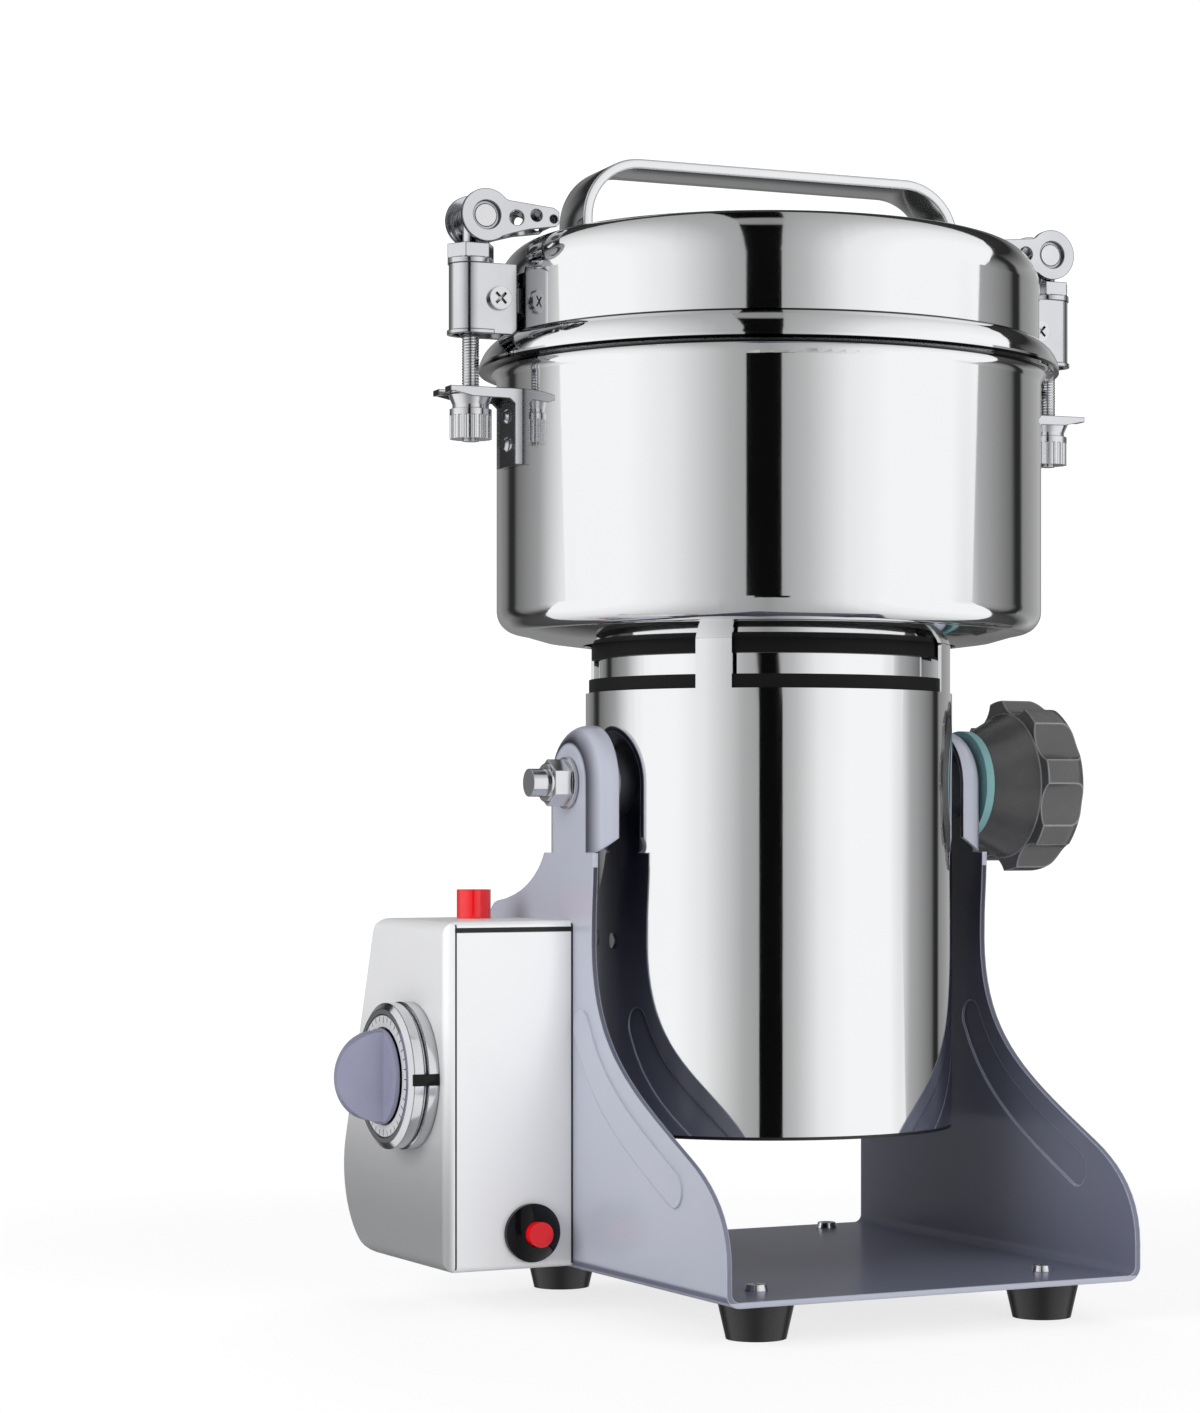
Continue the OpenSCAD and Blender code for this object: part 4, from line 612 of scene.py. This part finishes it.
def makeHandle(look):
    low, high = boxOf("lid_handle")
    deselect()
    bpy.ops.mesh.primitive_cube_add(size=1, location=(0, 0, 0))
    piece = bpy.context.object
    piece.scale = (2 * look["half"], look["width"], high.z - low.z)
    bpy.ops.object.transform_apply(location=True, rotation=True, scale=True)
    # its front, back and underside go, and its two upper ends are bent
    selectWhere("FACE", lambda face: abs(face.normal.y) > 0.9 or face.normal.z < -0.9)
    bpy.ops.mesh.delete(type="FACE")
    bpy.ops.object.mode_set(mode="OBJECT")
    top = (high.z - low.z) / 2 - look["near"]
    corners = piece.data.vertices
    selectWhere("EDGE", lambda edge: all(corners[v].co.z > top for v in edge.vertices)
                and abs(corners[edge.vertices[0]].co.x - corners[edge.vertices[1]].co.x) < look["near"])
    bpy.ops.mesh.bevel(offset=look["bend"], segments=20, affect="EDGES")
    outwardNormals()
    addModifier(piece, "SOLIDIFY", {"thickness": look["thick"], "offset": -1.0})
    addModifier(piece, "BEVEL", {"width": look["edge"], "segments": 3, "limit_method": "ANGLE",
                                 "angle_limit": math.radians(50)})
    turn = look["turned"]
    piece.location = (axis.x + look["shift"] * math.cos(turn),
                      axis.y + look["shift"] * math.sin(turn), (low.z + high.z) / 2)
    piece.rotation_euler = (0, 0, turn)
    finishPiece(piece, "handle_strap", strapSteel, "head", 40)
    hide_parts("lid_handle")


# a shallow pressed cone closes the underside of the pot down to its neck, steeper on its outer part
potFoot = {"outer": 0.092, "inner": 0.0685, "drop": 0.0045, "breakAt": 0.6, "thick": 0.0008, "gap": 1e-5}


def makePotFoot(look):
    floor = boxOf("pot")[0].z - look["gap"]
    deselect()
    bpy.ops.mesh.primitive_circle_add(vertices=160, radius=look["outer"], location=(axis.x, axis.y, floor))
    piece = bpy.context.object
    bpy.ops.object.mode_set(mode="EDIT")
    bpy.ops.mesh.select_all(action="SELECT")
    share = (look["inner"] + look["breakAt"] * (look["outer"] - look["inner"])) / look["outer"]
    drawRim((0, 0, -look["breakAt"] * look["drop"]), (share, share, 1))
    share = look["inner"] / (look["outer"] * share)
    drawRim((0, 0, (look["breakAt"] - 1) * look["drop"]), (share, share, 1))
    outwardNormals()
    down = sum(face.normal.z for face in piece.data.polygons) < 0
    addModifier(piece, "SOLIDIFY", {"thickness": look["thick"], "offset": -1.0 if down else 1.0})
    finishPiece(piece, "pot_foot", mirrorSteel, "head")


# a black strip across the timer's rings, put there as a painted dark reflection, its pale face, and the ticks
# on the face
timerMarks = {"height": 0.0042, "from": 0.001, "sunk": 0.0006, "deep": 0.0016, "soft": 0.0003,
              "faceIn": 0.0176, "faceOut": 0.0216, "thick": 0.0002, "well": 0.0005, "ticks": 36,
              "tickFrom": 0.0196, "tickTo": 0.0213, "tickWidth": 0.0003, "tickHigh": 0.0001,
              "longEvery": 6, "longer": 0.0006}


def makeTimerMarks(look):
    low, high = boxOf("timer_dial")
    middle = (low + high) / 2
    deselect()
    # painted reflection: a black strip across the rings at mid-height stands in for a dark reflection
    bpy.ops.mesh.primitive_cube_add(size=1, location=(middle.x, low.y + look["sunk"], middle.z))
    index = bpy.context.object
    index.scale = (high.x - low.x - look["from"], look["deep"], look["height"])
    index.location.x += look["from"] / 2
    bpy.ops.object.transform_apply(location=False, rotation=False, scale=True)
    addModifier(index, "BEVEL", {"width": look["soft"], "segments": 2})
    finishPiece(index, "timer_dark_strip", blackPhenolic, "base")
    face = low.x + look["well"] - look["thick"]
    bpy.ops.mesh.primitive_circle_add(vertices=128, radius=look["faceOut"],
                                      location=(face, middle.y, middle.z), rotation=(0, -math.pi / 2, 0))
    ring = bpy.context.object
    bpy.ops.object.transform_apply(location=False, rotation=True, scale=False)
    bpy.ops.object.mode_set(mode="EDIT")
    bpy.ops.mesh.select_all(action="SELECT")
    share = look["faceIn"] / look["faceOut"]
    drawRim((0, 0, 0), (1, share, share))
    outwardNormals()
    outward = sum(plane.normal.x for plane in ring.data.polygons) < 0
    addModifier(ring, "SOLIDIFY", {"thickness": look["thick"], "offset": -1.0 if outward else 1.0})
    finishPiece(ring, "timer_face", dialFace, "base")
    made = []
    for tick in range(look["ticks"]):
        angle = 2 * math.pi * tick / look["ticks"]
        longer = look["longer"] if tick % look["longEvery"] == 0 else 0
        reach = (look["tickFrom"] - longer + look["tickTo"]) / 2
        place = (face, middle.y + reach * math.sin(angle), middle.z + reach * math.cos(angle))
        bpy.ops.mesh.primitive_cube_add(size=1, location=place)
        bar = bpy.context.object
        bar.scale = (look["tickHigh"], look["tickWidth"], look["tickTo"] - look["tickFrom"] + longer)
        bar.rotation_euler = (-angle, 0, 0)
        bpy.ops.object.transform_apply(location=False, rotation=True, scale=True)
        made.append(bar)
    for bar in made:
        bar.select_set(True)
    bpy.context.view_layer.objects.active = made[0]
    bpy.ops.object.join()
    finishPiece(bpy.context.object, "timer_ticks", blackPhenolic, "base")


# the rolled thread of a latch rod, one ridge wound round it where it shows
thread = {"radius": 0.0029, "pitch": 0.001, "ridge": 0.00032, "steps": 20, "inNut": 0.001,
          "inBracket": 0.002}


def makeThread(side, look):
    low, high = boxOf("latch_nut_" + side)
    middle = (low + high) / 2
    bottom = high.z - look["inNut"]
    top = boxOf("latch_brackets")[0].z + look["inBracket"]
    deselect()
    bpy.ops.mesh.primitive_circle_add(vertices=3, radius=look["ridge"],
                                      location=(middle.x, middle.y, bottom), rotation=(math.pi / 2, 0, 0))
    piece = bpy.context.object
    bpy.ops.object.transform_apply(location=False, rotation=True, scale=False)
    bpy.ops.object.mode_set(mode="EDIT")
    bpy.ops.mesh.select_all(action="SELECT")
    bpy.ops.transform.translate(value=(look["radius"], 0, 0))
    bpy.ops.object.mode_set(mode="OBJECT")
    turns = int((top - bottom) / look["pitch"])
    addModifier(piece, "SCREW", {"angle": math.tau, "screw_offset": look["pitch"],
                                 "iterations": turns, "steps": look["steps"],
                                 "render_steps": look["steps"], "axis": "Z", "use_merge_vertices": True,
                                 "merge_threshold": 1e-7})
    # both ends of the ridge are closed
    bpy.ops.object.mode_set(mode="EDIT")
    bpy.ops.mesh.select_all(action="DESELECT")
    bpy.ops.mesh.select_mode(type="EDGE")
    bpy.ops.mesh.select_non_manifold()
    bpy.ops.mesh.edge_face_add()
    outwardNormals()
    finishPiece(piece, "rod_thread_" + side, platedSteel, "rod_" + side)


def dressNodes():
    made = {}
    for look in list(finishes.values()) + [dialFace]:
        if look["name"] not in made:
            made[look["name"]] = newFinish(look)
    for part in frame["record"]["subparts"]:
        look = finishes[part["material_slot"]]
        mesh = nodes[part["node"]].data
        mesh.materials.clear()
        mesh.materials.append(made[look["name"]])
    return made


deselect()
makeCamera(cameraSpot)
makeFloor(floorLook)
makeWorld(studio)
makeLamps(lamps)
bpy.context.scene.view_settings.view_transform = "Standard"
print("camera, floor and light stand")
materials = dressNodes()
# painted shade inside the frame, at the pot's joints, on the box's side face and in the plated corners
shadeInside(materials[lavenderEnamel["name"]], insideShade)
jointShadeLines(materials[mirrorSteel["name"]], potJointShadeLines)
shadeBox(materials[sheetSteel["name"]], boxShade)
# painted shade in the corners of the chrome and the plated steel
for plating in (chromePlate, platedSteel):
    paintCornerShade(materials[plating["name"]], cornerShade)
# painted dark reflections on the chrome and strap edges, painted highlights on the knob and enamel edges
for look, edges in ((chromePlate, chromeEdgeReflection), (strapSteel, strapEdgeReflection), (charcoalNylon, knobEdgeHighlight),
                    (lavenderEnamel, enamelEdgeHighlight)):
    paintEdgeLight(materials[look["name"]], edges)
print("shaded the frame, the pot, the box and the edges")
makeHandle(handle)
makePotFoot(potFoot)
makeTimerMarks(timerMarks)
for side in ("left", "right"):
    makeThread(side, thread)
